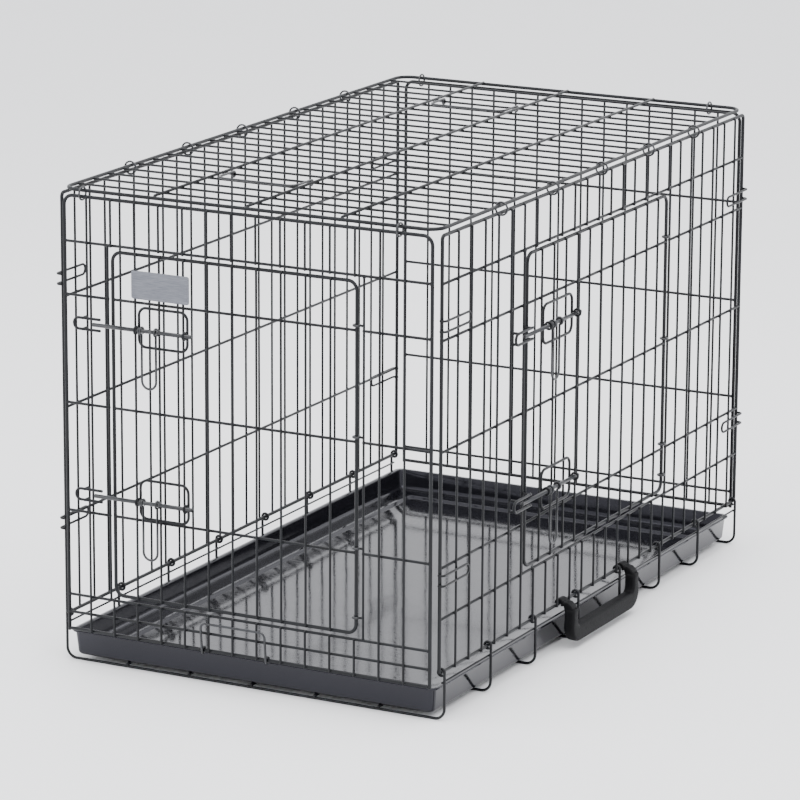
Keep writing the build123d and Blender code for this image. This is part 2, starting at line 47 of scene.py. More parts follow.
# %% [markdown]
# ## Sizes
# Real wire crates are drawn up from a handful of numbers: the nominal length, width and height,
# three wire gauges and a pitch. Everything below is in millimetres and is worked out from these,
# in the order a maker would: frame first, then the wires that stand on it.

# %% Name the crate's sizes
LENGTH, WIDTH, HEIGHT = 914.0, 534.0, 610.0
FRAME_WIRE, LINE_WIRE, CROSS_WIRE, RING_WIRE, BOLT_WIRE = 4.5, 3.5, 3.0, 3.0, 5.0
HINGE_Z, END_BOTTOM_Z, CORNER_BEND = 61.0, 45.0, 12.0
WELD_GAP, PLAY = 0.02, 0.35  # between welded wires, and round a wire that turns in an eye
END_GAP_X, END_GAP_Y, ROOF_DROP = 4.0, 3.8, 7.0
OVERRUN, LEG_DROP, REAR_RISE, JAMB_GAP = 1.5, 3, 5, 3.0
CROSS_OUT = FRAME_WIRE / 2 + CROSS_WIRE / 2 + WELD_GAP
OUTER_OUT = CROSS_OUT + CROSS_WIRE / 2
LINE_OUT = CROSS_OUT - CROSS_WIRE / 2 - LINE_WIRE / 2 - WELD_GAP
SIDE_X = WIDTH / 2 - OUTER_OUT
END_Y = LENGTH / 2 - OUTER_OUT
END_HALF = SIDE_X - FRAME_WIRE - END_GAP_X
SIDE_HALF = END_Y - FRAME_WIRE - END_GAP_Y
ROOF_Z = HEIGHT - LINE_WIRE - CROSS_WIRE / 2
WALL_TOP_Z = ROOF_Z - ROOF_DROP
ROOF_X, ROOF_Y = SIDE_X - END_GAP_X, END_Y - END_GAP_Y
ROOF_CROSS_Z = ROOF_Z - FRAME_WIRE / 2 + CROSS_WIRE / 2 + WELD_GAP
EYE = FRAME_WIRE / 2 + PLAY + RING_WIRE / 2
BOLT_EYE = BOLT_WIRE / 2 + PLAY + RING_WIRE / 2
BOLT_OUT = OUTER_OUT + LINE_WIRE + RING_WIRE + BOLT_WIRE / 2 + PLAY + 2 * WELD_GAP
SIDE_SPACES, END_SPACES, FLOOR_SPACES = 25, 15, 7

SIDE_LINES = [540.0, 471.0, 335.0, 192.0, 128.0]
LEFT_LINES = [467.0, 326.0, 186.0]
FRONT_LINES = [541.0, 474.0, 337.0, 199.0, 90.0, 67.0]
REAR_LINES = [476.0, 340.0, 205.0, 70.0]
print("panel planes: sides at", SIDE_X, "ends at", END_Y)

# %% [markdown]
# ## Paths
# A bent wire is straight runs joined by tangent arcs. `route` takes the corner points that a
# wire former would write on the job card, with one bend radius, and returns the points of the
# wire's centre line: at each corner the arc starts r * tan(turn / 2) before the corner, and its
# points are worked out all at once from the two directions that meet there.

# %% Bend a centre line round its corners
ARC_STEPS = 10


def unit(v):
    """A vector, or each row of an array, over its own length."""
    v = np.asarray(v, float)
    return v / np.linalg.norm(v, axis=-1, keepdims=True)


def route(corners, radius, closed=False):
    """Corner points with each corner replaced by an arc of the radius.

    Between unit directions a (coming in) and b (going out) with turn t, the arc's centre is the
    corner + (b - a) / |b - a| * radius / cos(t / 2), and the arc is swept in equal angles.
    """
    p = np.asarray(corners, float)
    last = len(p) if closed else len(p) - 1
    out = [] if closed else [p[:1]]
    for k in range(0 if closed else 1, last):
        here, come, go = p[k], unit(p[k] - p[k - 1]), unit(p[(k + 1) % len(p)] - p[k])
        turn = np.arccos(np.clip(come @ go, -1, 1))
        if turn < 1e-3:
            out.append(here[None])
            continue
        room = min(np.linalg.norm(p[k] - p[k - 1]), np.linalg.norm(p[(k + 1) % len(p)] - p[k])) * 0.499
        r = min(radius, room / np.tan(turn / 2))
        centre = here + unit(go - come) * r / np.cos(turn / 2)
        start = here - come * r * np.tan(turn / 2) - centre
        angle = np.linspace(0, turn, ARC_STEPS)[:, None]
        out.append(centre + start * np.cos(angle) + come * r * np.sin(angle))
    if not closed:
        out.append(p[-1:])
    return np.concatenate(out)


def circle(centre, axis, radius, steps=32):
    """Points of a full circle about an axis: centre + r * (u cos t + v sin t)."""
    axis = unit(axis)
    u = unit(np.cross(axis, [0.31, 0.57, 0.76]))
    v = np.cross(axis, u)
    t = np.arange(steps)[:, None] * 2 * np.pi / steps
    return np.asarray(centre, float) + radius * (u * np.cos(t) + v * np.sin(t))


# %% [markdown]
# ## Tubes
# A section that is carried along a path needs a frame of two directions that never twists. Wires
# here are flat bends, so the frame can be carried from one point to the next by turning it with
# the path's direction. Straight wires have only two points, and there are hundreds of them, so
# they go through a faster sister that treats the whole batch as one array.

# %% Turn paths into tube surfaces
def shell(grid, wrap=False):
    """Quads over a (rows, sides, 3) grid that is closed round its sides, and round its rows if asked."""
    rows, sides = grid.shape[:2]
    i = np.arange(rows if wrap else rows - 1)[:, None]
    j = np.arange(sides)[None]
    a, b = i * sides + j, i * sides + (j + 1) % sides
    c, d = ((i + 1) % rows) * sides + (j + 1) % sides, ((i + 1) % rows) * sides + j
    return grid.reshape(-1, 3), np.stack([a, b, c, d], -1).reshape(-1, 4)


def end_faces(first, stop, sides):
    """The two faces that close a shell whose points run from first up to stop."""
    return [list(range(first, first + sides))[::-1], list(range(stop - sides, stop))]


def tube(points, diameter, closed=False, sides=16):
    """A round section along a path. Open ends are rounded over by three smaller sections."""
    p = np.asarray(points, float)
    r = diameter / 2
    if not closed:
        first, last = unit(p[1] - p[0]), unit(p[-1] - p[-2])
        dome = np.array([0.0, 0.25, 0.55])[:, None] * r
        p = np.concatenate([p[0] + first * dome, p[1:-1], p[-1] - last * dome[::-1]])
        shrink = np.array([0.45, 0.83, 1.0])
        size = np.concatenate([shrink, np.ones(len(p) - 6), shrink[::-1]]) * r
        along = np.gradient(p, axis=0)
    else:
        size = np.full(len(p), r)
        along = np.roll(p, -1, 0) - np.roll(p, 1, 0)
    along = unit(along)
    side = unit(np.cross(along[0], along[0][[1, 2, 0]] + [0.2, 0.1, 0.0]))
    sides_of = np.empty_like(p)
    for k in range(len(p)):
        side = unit(side - along[k] * (side @ along[k]))
        sides_of[k] = side
    lift = np.cross(along, sides_of)
    t = np.arange(sides) * 2 * np.pi / sides
    around = sides_of[:, None] * np.cos(t)[None, :, None] + lift[:, None] * np.sin(t)[None, :, None]
    verts, quads = shell(p[:, None] + around * size[:, None, None], closed)
    ends = [] if closed else end_faces(0, len(verts), sides)
    return verts, quads.tolist() + ends


def rods(starts, stops, diameter, sides=14):
    """Many straight wires at once: each is a (6, sides) grid from one rounded end to the other."""
    a, b = np.asarray(starts, float), np.asarray(stops, float)
    along = unit(b - a)
    u = unit(np.cross(along, along[:, [1, 2, 0]] + [0.2, 0.1, 0.0]))
    v = np.cross(along, u)
    r = diameter / 2
    inset = np.array([0.0, 0.25, 0.55]) * r
    size = np.array([0.45, 0.83, 1.0, 1.0, 0.83, 0.45]) * r
    low = a[:, None] + along[:, None] * inset[None, :, None]
    high = b[:, None] - along[:, None] * inset[::-1][None, :, None]
    spine = np.concatenate([low, high], 1)
    t = np.arange(sides) * 2 * np.pi / sides
    around = u[:, None] * np.cos(t)[None, :, None] + v[:, None] * np.sin(t)[None, :, None]
    grid = spine[:, :, None] + around[:, None] * size[None, :, None, None]
    verts, quads = shell(grid[0])
    per = len(verts)
    offsets = np.arange(len(a))[:, None, None] * per
    faces = (np.array(quads)[None] + offsets).reshape(-1, 4).tolist()
    for k in range(len(a)):
        faces += end_faces(k * per, (k + 1) * per, sides)
    return grid.reshape(-1, 3), faces


def capped(rows):
    """A shell over rows of section points whose first and last rows are closed with one face."""
    grid = np.stack(rows)
    verts, quads = shell(grid)
    return verts, quads.tolist() + end_faces(0, len(verts), grid.shape[1])


def sheet(rows):
    """An open sheet over rows of points: quads between neighbours, with no closing strip."""
    grid = np.asarray(rows, float)
    verts, quads = shell(grid)
    keep = (np.arange(len(quads)) + 1) % grid.shape[1] != 0
    return verts, quads[keep].tolist()


# %% [markdown]
# ## Spot welds
# Where two wires cross, the welding electrodes squeeze them together until the metal runs, which
# leaves a small bead on both sides of the touching line. A full fillet would need booleans, and a
# small ball of some fifty faces at each crossing says the same thing.

# %% Make weld beads
BEAD_SIDES, WELD_REACH = 10, 4.5


def beads(places, size):
    """Small balls: place + size * (cos lat cos lon, cos lat sin lon, sin lat), closed at both ends."""
    places = np.asarray(places, float).reshape(-1, 3)
    lat = np.linspace(-1.35, 1.35, 6)[:, None]
    lon = np.arange(BEAD_SIDES)[None] * 2 * np.pi / BEAD_SIDES
    ball = np.stack([np.cos(lat) * np.cos(lon), np.cos(lat) * np.sin(lon), np.sin(lat) + 0 * lon], -1)
    verts, quads = shell(ball * size)
    per = len(verts)
    grid = places[:, None] + verts[None]
    faces = (quads[None] + np.arange(len(places))[:, None, None] * per).reshape(-1, 4).tolist()
    for k in range(len(places)):
        faces += end_faces(k * per, (k + 1) * per, BEAD_SIDES)
    return grid.reshape(-1, 3), faces


def crossings(starts, stops, other_starts, other_stops, along_a, along_b, reach):
    """Middle points where wires of one set pass wires of another within reach.

    Both sets are straight and parallel within themselves. Wire a runs along axis along_a and
    wire b along axis along_b, so they meet at b's coordinate on a's axis and a's on b's.
    """
    a0, a1 = (np.asarray(v, float)[:, None] for v in (starts, stops))
    b0, b1 = (np.asarray(v, float)[None] for v in (other_starts, other_stops))
    depth = 3 - along_a - along_b
    ta, tb = b0[..., along_a] + 0 * a0[..., along_a], a0[..., along_b] + 0 * b0[..., along_b]
    hit = (ta > np.minimum(a0, a1)[..., along_a] - 1) & (ta < np.maximum(a0, a1)[..., along_a] + 1)
    hit &= (tb > np.minimum(b0, b1)[..., along_b] - 1) & (tb < np.maximum(b0, b1)[..., along_b] + 1)
    hit &= np.abs(a0[..., depth] - b0[..., depth]) < reach
    out = np.empty(ta.shape + (3,))
    out[..., along_a], out[..., along_b] = ta, tb
    out[..., depth] = (a0[..., depth] + b0[..., depth]) / 2
    return out[hit]


# %% [markdown]
# ## From arrays to pieces
# One helper joins any number of tube surfaces into one mesh, in metres, shades it smooth, hides
# the CAD pieces it stands for and hangs it on the body that carries it.

# %% Build a piece
def piece(name, parts, body, material, replaces=(), slot="black_wire"):
    """Join (vertices in mm, faces) pairs into one object that rides on a body."""
    starts = np.cumsum([0] + [len(v) for v, _ in parts])
    verts = np.concatenate([v for v, _ in parts]) * MM
    faces = [[i + s for i in f] for (_, fs), s in zip(parts, starts) for f in fs]
    mesh = bpy.data.meshes.new(name)
    mesh.from_pydata(verts.tolist(), [], faces)
    mesh.polygons.foreach_set("use_smooth", np.ones(len(mesh.polygons), bool))
    mesh.materials.append(material)
    mesh.update()
    made = bpy.data.objects.new(name, mesh)
    bpy.context.scene.collection.objects.link(made)
    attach(made, body)
    if replaces:
        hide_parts(*replaces)
    print(f"{name}: {len(verts)} points, {len(faces)} faces")


# %% [markdown]
# ## Colours and node trees
# Blender's shader sockets want linear light, and paint is specified in sRGB hex, so one function
# does the turn. Another adds a node with its settings and its links in one line.

# %% Colour and node helpers
def linear(hex_colour):
    """sRGB hex to linear RGBA: c / 12.92 below 0.04045, else ((c + 0.055) / 1.055) ** 2.4."""
    c = np.array([int(hex_colour[i:i + 2], 16) for i in (1, 3, 5)]) / 255
    c = np.where(c <= 0.04045, c / 12.92, ((c + 0.055) / 1.055) ** 2.4)
    return (*c.tolist(), 1.0)


def add(tree, kind, **inputs):
    """Add a node, and give each named or numbered input its setting or a link from a socket."""
    node = tree.nodes.new(kind)
    for key, value in inputs.items():
        socket = node.inputs[int(key[1:])] if key[0] == "_" else node.inputs[key.replace("_", " ")]
        if isinstance(value, bpy.types.NodeSocket):
            tree.links.new(value, socket)
        else:
            socket.default_value = value
    return node


def blank_material(name):
    """A new material with an empty tree and its output, ready for a surface."""
    material = bpy.data.materials.new(name)
    material.use_nodes = True
    tree = material.node_tree
    tree.nodes.clear()
    return material, tree


def finish_surface(tree, shader):
    """Send a shader to the material's output."""
    out = add(tree, "ShaderNodeOutputMaterial")
    tree.links.new(shader.outputs["BSDF"], out.inputs["Surface"])


# %% [markdown]
# ## Black e-coat on drawn wire
# The panels are dipped in an epoxy bath that is drawn on to the steel by a current, then baked.
# The film is thin and even, a little orange-peeled, satin, and faintly blue-black where light
# grazes it. The peel is a fine noise of about 1.2 mm, drawn coarser than life so that it shows,
# and a slow noise of about 60 mm varies the gloss from wire to wire.

# %% Electro-coated wire
def electro_coat():
    """Satin black film: base near #0c0e11, roughness 0.30 to 0.44, peel bump of 1.2 mm grain."""
    material, tree = blank_material("electro_coated_wire")
    place = add(tree, "ShaderNodeTexCoord").outputs["Object"]
    slow = add(tree, "ShaderNodeTexNoise", Vector=place, Scale=1 / 0.06, Detail=2.0)
    rough = add(tree, "ShaderNodeMapRange", _0=slow.outputs[0], _3=0.30, _4=0.44)
    tone = add(tree, "ShaderNodeValToRGB", _0=slow.outputs[0])
    tone.color_ramp.elements[0].position, tone.color_ramp.elements[0].color = 0.3, linear("#08090c")
    tone.color_ramp.elements[1].position, tone.color_ramp.elements[1].color = 0.7, linear("#101216")
    peel = add(tree, "ShaderNodeTexNoise", Vector=place, Scale=1 / 0.0012, Detail=1.0)
    bump = add(tree, "ShaderNodeBump", Strength=0.12, Distance=0.0002, Height=peel.outputs[0])
    shader = add(
        tree, "ShaderNodeBsdfPrincipled", Base_Color=tone.outputs[0], Roughness=rough.outputs[0],
        Normal=bump.outputs[0], IOR=1.52, Specular_IOR_Level=0.22,
    )
    finish_surface(tree, shader)
    return material


WIRE = electro_coat()
print("made", WIRE.name)

# %% [markdown]
# ## Rubbed coat on bolts and rings
# The sliding bolts, pulls and rings are separate wires, coated before they are fitted, and the
# coat is rubbed where they slide, which leaves them a little glossier and greyer.

# %% Rubbed wire
def rubbed_coat():
    """The same film, thinner: base #0f1014 to #202227, roughness 0.22 to 0.36."""
    material, tree = blank_material("rubbed_electro_coat")
    place = add(tree, "ShaderNodeTexCoord").outputs["Object"]
    patch = add(tree, "ShaderNodeTexNoise", Vector=place, Scale=1 / 0.012, Detail=3.0)
    rough = add(tree, "ShaderNodeMapRange", _0=patch.outputs[0], _3=0.22, _4=0.36)
    tone = add(tree, "ShaderNodeValToRGB", _0=patch.outputs[0])
    tone.color_ramp.elements[0].position, tone.color_ramp.elements[0].color = 0.4, linear("#0f1014")
    tone.color_ramp.elements[1].position, tone.color_ramp.elements[1].color = 0.75, linear("#202227")
    shader = add(
        tree, "ShaderNodeBsdfPrincipled", Base_Color=tone.outputs[0], Roughness=rough.outputs[0], IOR=1.52,
    )
    finish_surface(tree, shader)
    return material


RUBBED = rubbed_coat()
print("made", RUBBED.name)

# %% [markdown]
# ## Glossy tray plastic
# The tray is vacuum formed from a sheet of black ABS or polystyrene. The mould side is the inside,
# and the free side keeps the sheet's rolled gloss, so it mirrors the wires and the sky like dark
# water, with a slight ripple. The ripple is a broad noise of about 90 mm, and scuffs of about
# 5 mm dull the gloss here and there.

# %% Vacuum-formed sheet
def formed_sheet():
    """Dielectric gloss: base #0d0d10, roughness 0.06 to 0.16, ripple bump of 90 mm grain."""
    material, tree = blank_material("vacuum_formed_black_sheet")
    place = add(tree, "ShaderNodeTexCoord").outputs["Object"]
    ripple = add(tree, "ShaderNodeTexNoise", Vector=place, Scale=1 / 0.09, Detail=1.5)
    scuff = add(tree, "ShaderNodeTexNoise", Vector=place, Scale=1 / 0.005, Detail=4.0)
    rough = add(tree, "ShaderNodeMapRange", _0=scuff.outputs[0], _1=0.35, _2=0.8, _3=0.06, _4=0.16)
    tone = add(tree, "ShaderNodeValToRGB", _0=ripple.outputs[0])
    tone.color_ramp.elements[0].color = linear("#0a0a0d")
    tone.color_ramp.elements[1].color = linear("#101014")
    bump = add(tree, "ShaderNodeBump", Strength=0.18, Distance=0.002, Height=ripple.outputs[0])
    shader = add(
        tree, "ShaderNodeBsdfPrincipled", Base_Color=tone.outputs[0], Roughness=rough.outputs[0],
        Normal=bump.outputs[0], IOR=1.57, Specular_IOR_Level=0.3, Specular_Tint=linear("#efefff"),
    )
    finish_surface(tree, shader)
    return material


SHEET = formed_sheet()
print("made", SHEET.name)

# %% [markdown]
# ## Moulded handle plastic
# Handles are injection moulded polypropylene with a spark-eroded grain, which scatters light, so
# the part is matt black beside the satin wire. The grain is a cellular bump of about 1.5 mm.

# %% Grained polypropylene
def grained_plastic():
    """Matt black: base #0a0a0c, roughness 0.5 to 0.62, grain bump of 1.5 mm cells."""
    material, tree = blank_material("grained_polypropylene")
    place = add(tree, "ShaderNodeTexCoord").outputs["Object"]
    cells = add(tree, "ShaderNodeTexVoronoi", Vector=place, Scale=1 / 0.0015)
    rough = add(tree, "ShaderNodeMapRange", _0=cells.outputs[0], _3=0.50, _4=0.62)
    tone = add(tree, "ShaderNodeValToRGB", _0=cells.outputs[0])
    tone.color_ramp.elements[0].color = linear("#0c0c0e")
    tone.color_ramp.elements[1].color = linear("#08080a")
    bump = add(tree, "ShaderNodeBump", Strength=0.35, Distance=0.0003, Height=cells.outputs[0])
    shader = add(
        tree, "ShaderNodeBsdfPrincipled", Base_Color=tone.outputs[0], Roughness=rough.outputs[0],
        Normal=bump.outputs[0], IOR=1.49, Specular_IOR_Level=0.1,
    )
    finish_surface(tree, shader)
    return material


GRAINED = grained_plastic()
print("made", GRAINED.name)

# %% [markdown]
# ## Brushed plate
# The little plate on the door is thin aluminium, brushed along its length and lacquered. Brushing
# is drawn by a noise that is stretched along X: about 12 mm long and 0.4 mm wide.

# %% Brushed aluminium
def brushed_plate():
    """Metal: base #5d5f66 to #7b7d84, roughness 0.32 to 0.5 in streaks along X."""
    material, tree = blank_material("brushed_aluminium_plate")
    place = add(tree, "ShaderNodeTexCoord").outputs["Object"]
    stretch = add(tree, "ShaderNodeMapping", Vector=place, Scale=(1 / 0.012, 1 / 0.0004, 1 / 0.0004))
    streak = add(tree, "ShaderNodeTexNoise", Vector=stretch.outputs[0], Scale=1.0, Detail=3.0)
    rough = add(tree, "ShaderNodeMapRange", _0=streak.outputs[0], _3=0.32, _4=0.50)
    tone = add(tree, "ShaderNodeValToRGB", _0=streak.outputs[0])
    tone.color_ramp.elements[0].position, tone.color_ramp.elements[0].color = 0.3, linear("#5d5f66")
    tone.color_ramp.elements[1].position, tone.color_ramp.elements[1].color = 0.7, linear("#7b7d84")
    shader = add(
        tree, "ShaderNodeBsdfPrincipled", Base_Color=tone.outputs[0], Roughness=rough.outputs[0],
        Metallic=0.85,
    )
    finish_surface(tree, shader)
    return material


BRUSHED = brushed_plate()
print("made", BRUSHED.name)

# %% [markdown]
# ## Side panels
# A side is one bent frame, upright cross wires on its outer face at an even pitch, and a few long
# wires in the frame's plane. Where a door is, the wires stop at the doorway's edge and a jamb wire
# ties the cut ends together. `cut` gives the starts and stops of a wire that skips the doorway.

# %% Lay out a side
def spread(low, high, spaces):
    """The inner points of a span cut into equal spaces."""
    return low + (high - low) * np.arange(1, spaces) / spaces


def cut(low, high, gap, touched):
    """Starts and stops of one wire from low to high, in two stretches if it is touched by the gap."""
    return [(low, gap[0]), (gap[1], high)] if touched else [(low, high)]


def grid_wires(across, levels, span_a, span_b, depth_a, depth_b, plane, doorway=None):
    """Cross wires and line wires of a panel, as arrays of their starts and stops.

    across are the places of the cross wires along the panel and levels the heights of the line
    wires. plane(along, height, depth) turns the panel's own coordinates to the crate's.
    """
    left, right, low, high = doorway or (0, 0, 0, 0)
    upright, long = [], []
    for s in across:
        upright += [(plane(s, z0, depth_a), plane(s, z1, depth_a))
                    for z0, z1 in cut(*span_a, (low, high), left < s < right)]
    for z in levels:
        long += [(plane(s0, z, depth_b), plane(s1, z, depth_b))
                 for s0, s1 in cut(*span_b, (left, right), low + 1 < z < high - 1)]
    return np.array(upright), np.array(long)


def welds(upright, frame_runs, along, size=1.9):
    """Beads where the cross wires meet the runs of another set, given as starts and stops."""
    sets = upright[:, 0], upright[:, 1], frame_runs[:, 0], frame_runs[:, 1]
    where = crossings(*sets, 2, along, WELD_REACH)
    return beads(where, size)


def side_plane(sign):
    """A side panel's coordinates to the crate's: along is Y, height is Z, depth is outwards X."""
    return lambda along, height, depth: (sign * (SIDE_X + depth), along, height)


def side_parts(sign, levels, doorway=None):
    """Frame, wires and beads of a side."""
    plane = side_plane(sign)
    ring = [plane(s, z, 0) for s, z in ((-SIDE_HALF, HINGE_Z), (SIDE_HALF, HINGE_Z),
                                       (SIDE_HALF, WALL_TOP_Z), (-SIDE_HALF, WALL_TOP_Z))]
    reach = SIDE_HALF - FRAME_WIRE / 2
    upright, long = grid_wires(
        spread(-SIDE_HALF, SIDE_HALF, SIDE_SPACES), levels, (HINGE_Z - OVERRUN, WALL_TOP_Z),
        (-reach, reach), CROSS_OUT, LINE_OUT, plane, doorway,
    )
    rails = np.array([[plane(-reach, z, 0), plane(reach, z, 0)] for z in (HINGE_Z, WALL_TOP_Z)])
    runs = np.concatenate([long, rails])
    return [
        tube(route(ring, 5.0, closed=True), FRAME_WIRE, closed=True, sides=20),
        rods(upright[:, 0], upright[:, 1], CROSS_WIRE),
        rods(long[:, 0], long[:, 1], LINE_WIRE),
        welds(upright, runs, 1),
    ]


SIDE_DOOR = dict(front=-215.0, rear=197.0, bottom=135.5, top=532.5)
JAMB_REACH = FRAME_WIRE / 2 + JAMB_GAP + CROSS_WIRE + WELD_GAP
SIDE_DOORWAY = (
    SIDE_DOOR["front"] - JAMB_REACH, SIDE_DOOR["rear"] + JAMB_REACH + RING_WIRE,
    SIDE_LINES[-1] + LINE_WIRE / 2, SIDE_LINES[0] - LINE_WIRE / 2,
)


def jambs(doorway, levels, plane):
    """The two upright jamb wires of a doorway, and beads where cut wires end on them."""
    left, right, low, high = doorway
    at = (left + CROSS_WIRE / 2, right - CROSS_WIRE / 2)
    wires = [rods([plane(s, low, LINE_OUT) for s in at], [plane(s, high, LINE_OUT) for s in at], CROSS_WIRE)]
    ends = [plane(s, z, LINE_OUT) for s in at for z in (*levels, low, high)]
    return wires + [beads(ends, 2.1)]


piece("right_side_wires", side_parts(1, SIDE_LINES, SIDE_DOORWAY), "right_side", WIRE, ["right_side_panel"])
piece(
    "right_jamb_wires", jambs(SIDE_DOORWAY, SIDE_LINES[1:4], side_plane(1)), "right_side", WIRE,
    ["right_side_jambs"],
)
piece("left_side_wires", side_parts(-1, LEFT_LINES), "left_side", WIRE, ["left_side_panel"])

# %% [markdown]
# ## End panels
# An end's frame is one wire bent into an upside-down U whose legs run a little below the lowest
# wire. The front has a doorway like the side's.

# %% Lay out the ends
def end_plane(sign):
    """An end panel's coordinates to the crate's: along is X, height is Z, depth is outwards Y."""
    return lambda along, height, depth: (along, sign * (END_Y + depth), height)


def end_parts(sign, levels, bottom, doorway=None):
    """Bent frame, bottom wire, cross wires, line wires and beads of an end."""
    plane = end_plane(sign)
    hoop = [plane(s, z, 0) for s, z in ((-END_HALF, bottom - LEG_DROP), (-END_HALF, WALL_TOP_Z),
                                       (END_HALF, WALL_TOP_Z), (END_HALF, bottom - LEG_DROP))]
    reach = END_HALF - FRAME_WIRE / 2
    upright, long = grid_wires(
        spread(-END_HALF, END_HALF, END_SPACES), levels, (bottom - OVERRUN, WALL_TOP_Z),
        (-reach, reach), CROSS_OUT, LINE_OUT, plane, doorway,
    )
    rails = np.array([[plane(-reach, z, 0), plane(reach, z, 0)] for z in (bottom, WALL_TOP_Z)])
    runs = np.concatenate([long, rails])
    ends = [plane(s, z, LINE_OUT) for s in (-reach, reach) for z in (*levels, bottom)]
    return [
        tube(route(hoop, CORNER_BEND), FRAME_WIRE, sides=20),
        rods(rails[:1, 0], rails[:1, 1], FRAME_WIRE, sides=20),
        rods(upright[:, 0], upright[:, 1], CROSS_WIRE),
        rods(long[:, 0], long[:, 1], LINE_WIRE),
        welds(upright, runs, 0),
        beads(ends, 2.2),
    ]


FRONT_DOOR = dict(left=-185.0, right=153.0, bottom=97.5, top=533.5)
FRONT_DOORWAY = (
    FRONT_DOOR["left"] - JAMB_REACH, FRONT_DOOR["right"] + JAMB_REACH + RING_WIRE,
    FRONT_LINES[4] + LINE_WIRE / 2, FRONT_LINES[0] - LINE_WIRE / 2,
)
piece(
    "front_end_wires", end_parts(-1, FRONT_LINES, END_BOTTOM_Z, FRONT_DOORWAY), "front_end", WIRE,
    ["front_end_panel"],
)
piece(
    "front_jamb_wires", jambs(FRONT_DOORWAY, FRONT_LINES[1:4], end_plane(-1)), "front_end", WIRE,
    ["front_end_jambs"],
)
piece(
    "rear_end_wires", end_parts(1, REAR_LINES, END_BOTTOM_Z + REAR_RISE), "rear_end", WIRE,
    ["rear_end_panel"],
)

# %% [markdown]
# ## Roof
# The roof is a frame with rounder corners. Its cross wires end on the frame, and the three long
# wires lie on top of them.

# %% Lay out the roof
def roof_parts():
    """Frame, cross wires, long wires and beads of the roof."""
    ring = [(sx * ROOF_X, sy * ROOF_Y, ROOF_Z) for sx, sy in ((-1, -1), (1, -1), (1, 1), (-1, 1))]
    long_z = ROOF_CROSS_Z + CROSS_WIRE / 2 + LINE_WIRE / 2 + WELD_GAP
    rx, ry = ROOF_X - FRAME_WIRE / 2, ROOF_Y - FRAME_WIRE / 2
    ys, xs = spread(-ROOF_Y, ROOF_Y, SIDE_SPACES), spread(-ROOF_X, ROOF_X, 4)
    cross = np.array([[(-rx, y, ROOF_CROSS_Z), (rx, y, ROOF_CROSS_Z)] for y in ys])
    long = np.array([[(x, -ry, long_z), (x, ry, long_z)] for x in xs])
    touching = crossings(cross[:, 0], cross[:, 1], long[:, 0], long[:, 1], 0, 1, WELD_REACH)
    ends = np.concatenate([cross.reshape(-1, 3), long.reshape(-1, 3) - (0, 0, 1.5)])
    return [
        tube(route(ring, CORNER_BEND + 8, closed=True), FRAME_WIRE, closed=True, sides=20),
        rods(cross[:, 0], cross[:, 1], CROSS_WIRE),
        rods(long[:, 0], long[:, 1], LINE_WIRE),
        beads(touching, 1.9),
        beads(ends, 2.0),
    ]


piece("roof_wires", roof_parts(), "roof", WIRE, ["roof_panel"])

# %% [markdown]
# ## Rings
# Closed rings hang the walls on the roof. A ring is a circle for a path, so it needs no bends.

# %% Hang the walls on the roof
ROOF_RING, ROOF_RING_WIRE, END_RINGS_AT = 7.9, 2.5, (-228, 209)


def side_rings(side):
    """Rings round a roof edge and a side's top wire, half way between cross wires."""
    pitch = 2 * SIDE_HALF / SIDE_SPACES
    ys = (np.arange(4, SIDE_SPACES - 1, 4) + 0.5) * pitch - SIDE_HALF
    x, z = side * (SIDE_X + ROOF_X) / 2, (ROOF_Z + WALL_TOP_Z) / 2
    return [tube(circle((x, y, z), (0, 1, 0), ROOF_RING), ROOF_RING_WIRE, closed=True) for y in ys]


def end_rings(sign):
    """The two rings that carry an end."""
    y, z = sign * (END_Y + ROOF_Y) / 2, (ROOF_Z + WALL_TOP_Z) / 2
    rings = [circle((x, y, z), (1, 0, 0), ROOF_RING) for x in END_RINGS_AT]
    return [tube(ring, ROOF_RING_WIRE, closed=True) for ring in rings]


piece("right_ring_set", side_rings(1), "roof", RUBBED, ["right_roof_rings"])
piece("left_ring_set", side_rings(-1), "roof", RUBBED, ["left_roof_rings"])
piece("front_ring_pair", end_rings(-1), "front_hanger", RUBBED, ["front_hanger_rings"])
piece("rear_ring_pair", end_rings(1), "rear_hanger", RUBBED, ["rear_hanger_rings"])

# %% [markdown]
# ## Floor
# Each floor wire is one piece of wire: an eye, a post, a bend, the run under the tray, and the
# same again on the other side. So it is one path, where the eye is most of a circle round the
# side panel's hinge wire.

# %% Bend the floor wires
POST_X = SIDE_X + FRAME_WIRE / 2 + PLAY + LINE_WIRE / 2
POST_BEND, GROUND_Z = 13.0, LINE_WIRE / 2
FLOOR_HALF = SIDE_HALF - 6.0
FLOOR_PLACES = np.concatenate([[-FLOOR_HALF, FLOOR_HALF], spread(-FLOOR_HALF, FLOOR_HALF, FLOOR_SPACES)])
RAIL_Z, RAIL_WIRE = HINGE_Z - 13.0, 2.5


def loop(centre, start, side, sweep=300.0, steps=16):
    """Most of a circle: centre + start * cos t + side * sin t for t from 0 to the sweep."""
    t = np.radians(np.linspace(0, sweep, steps))[:, None]
    centre, start, side = (np.asarray(v, float) for v in (centre, start, side))
    return centre + start * np.cos(t) + side * np.sin(t)


def floor_wire(y):
    """One floor wire with its two eyes, as points."""
    r = POST_X - SIDE_X
    right = loop((SIDE_X, y, HINGE_Z), (r, 0, 0), (0, 0, r))
    left = loop((-SIDE_X, y, HINGE_Z), (-r, 0, 0), (0, 0, r))
    run = route([(POST_X, y, HINGE_Z - 2), (POST_X, y, GROUND_Z), (-POST_X, y, GROUND_Z),
                 (-POST_X, y, HINGE_Z - 2)], POST_BEND)
    return np.concatenate([right[::-1], run, left])


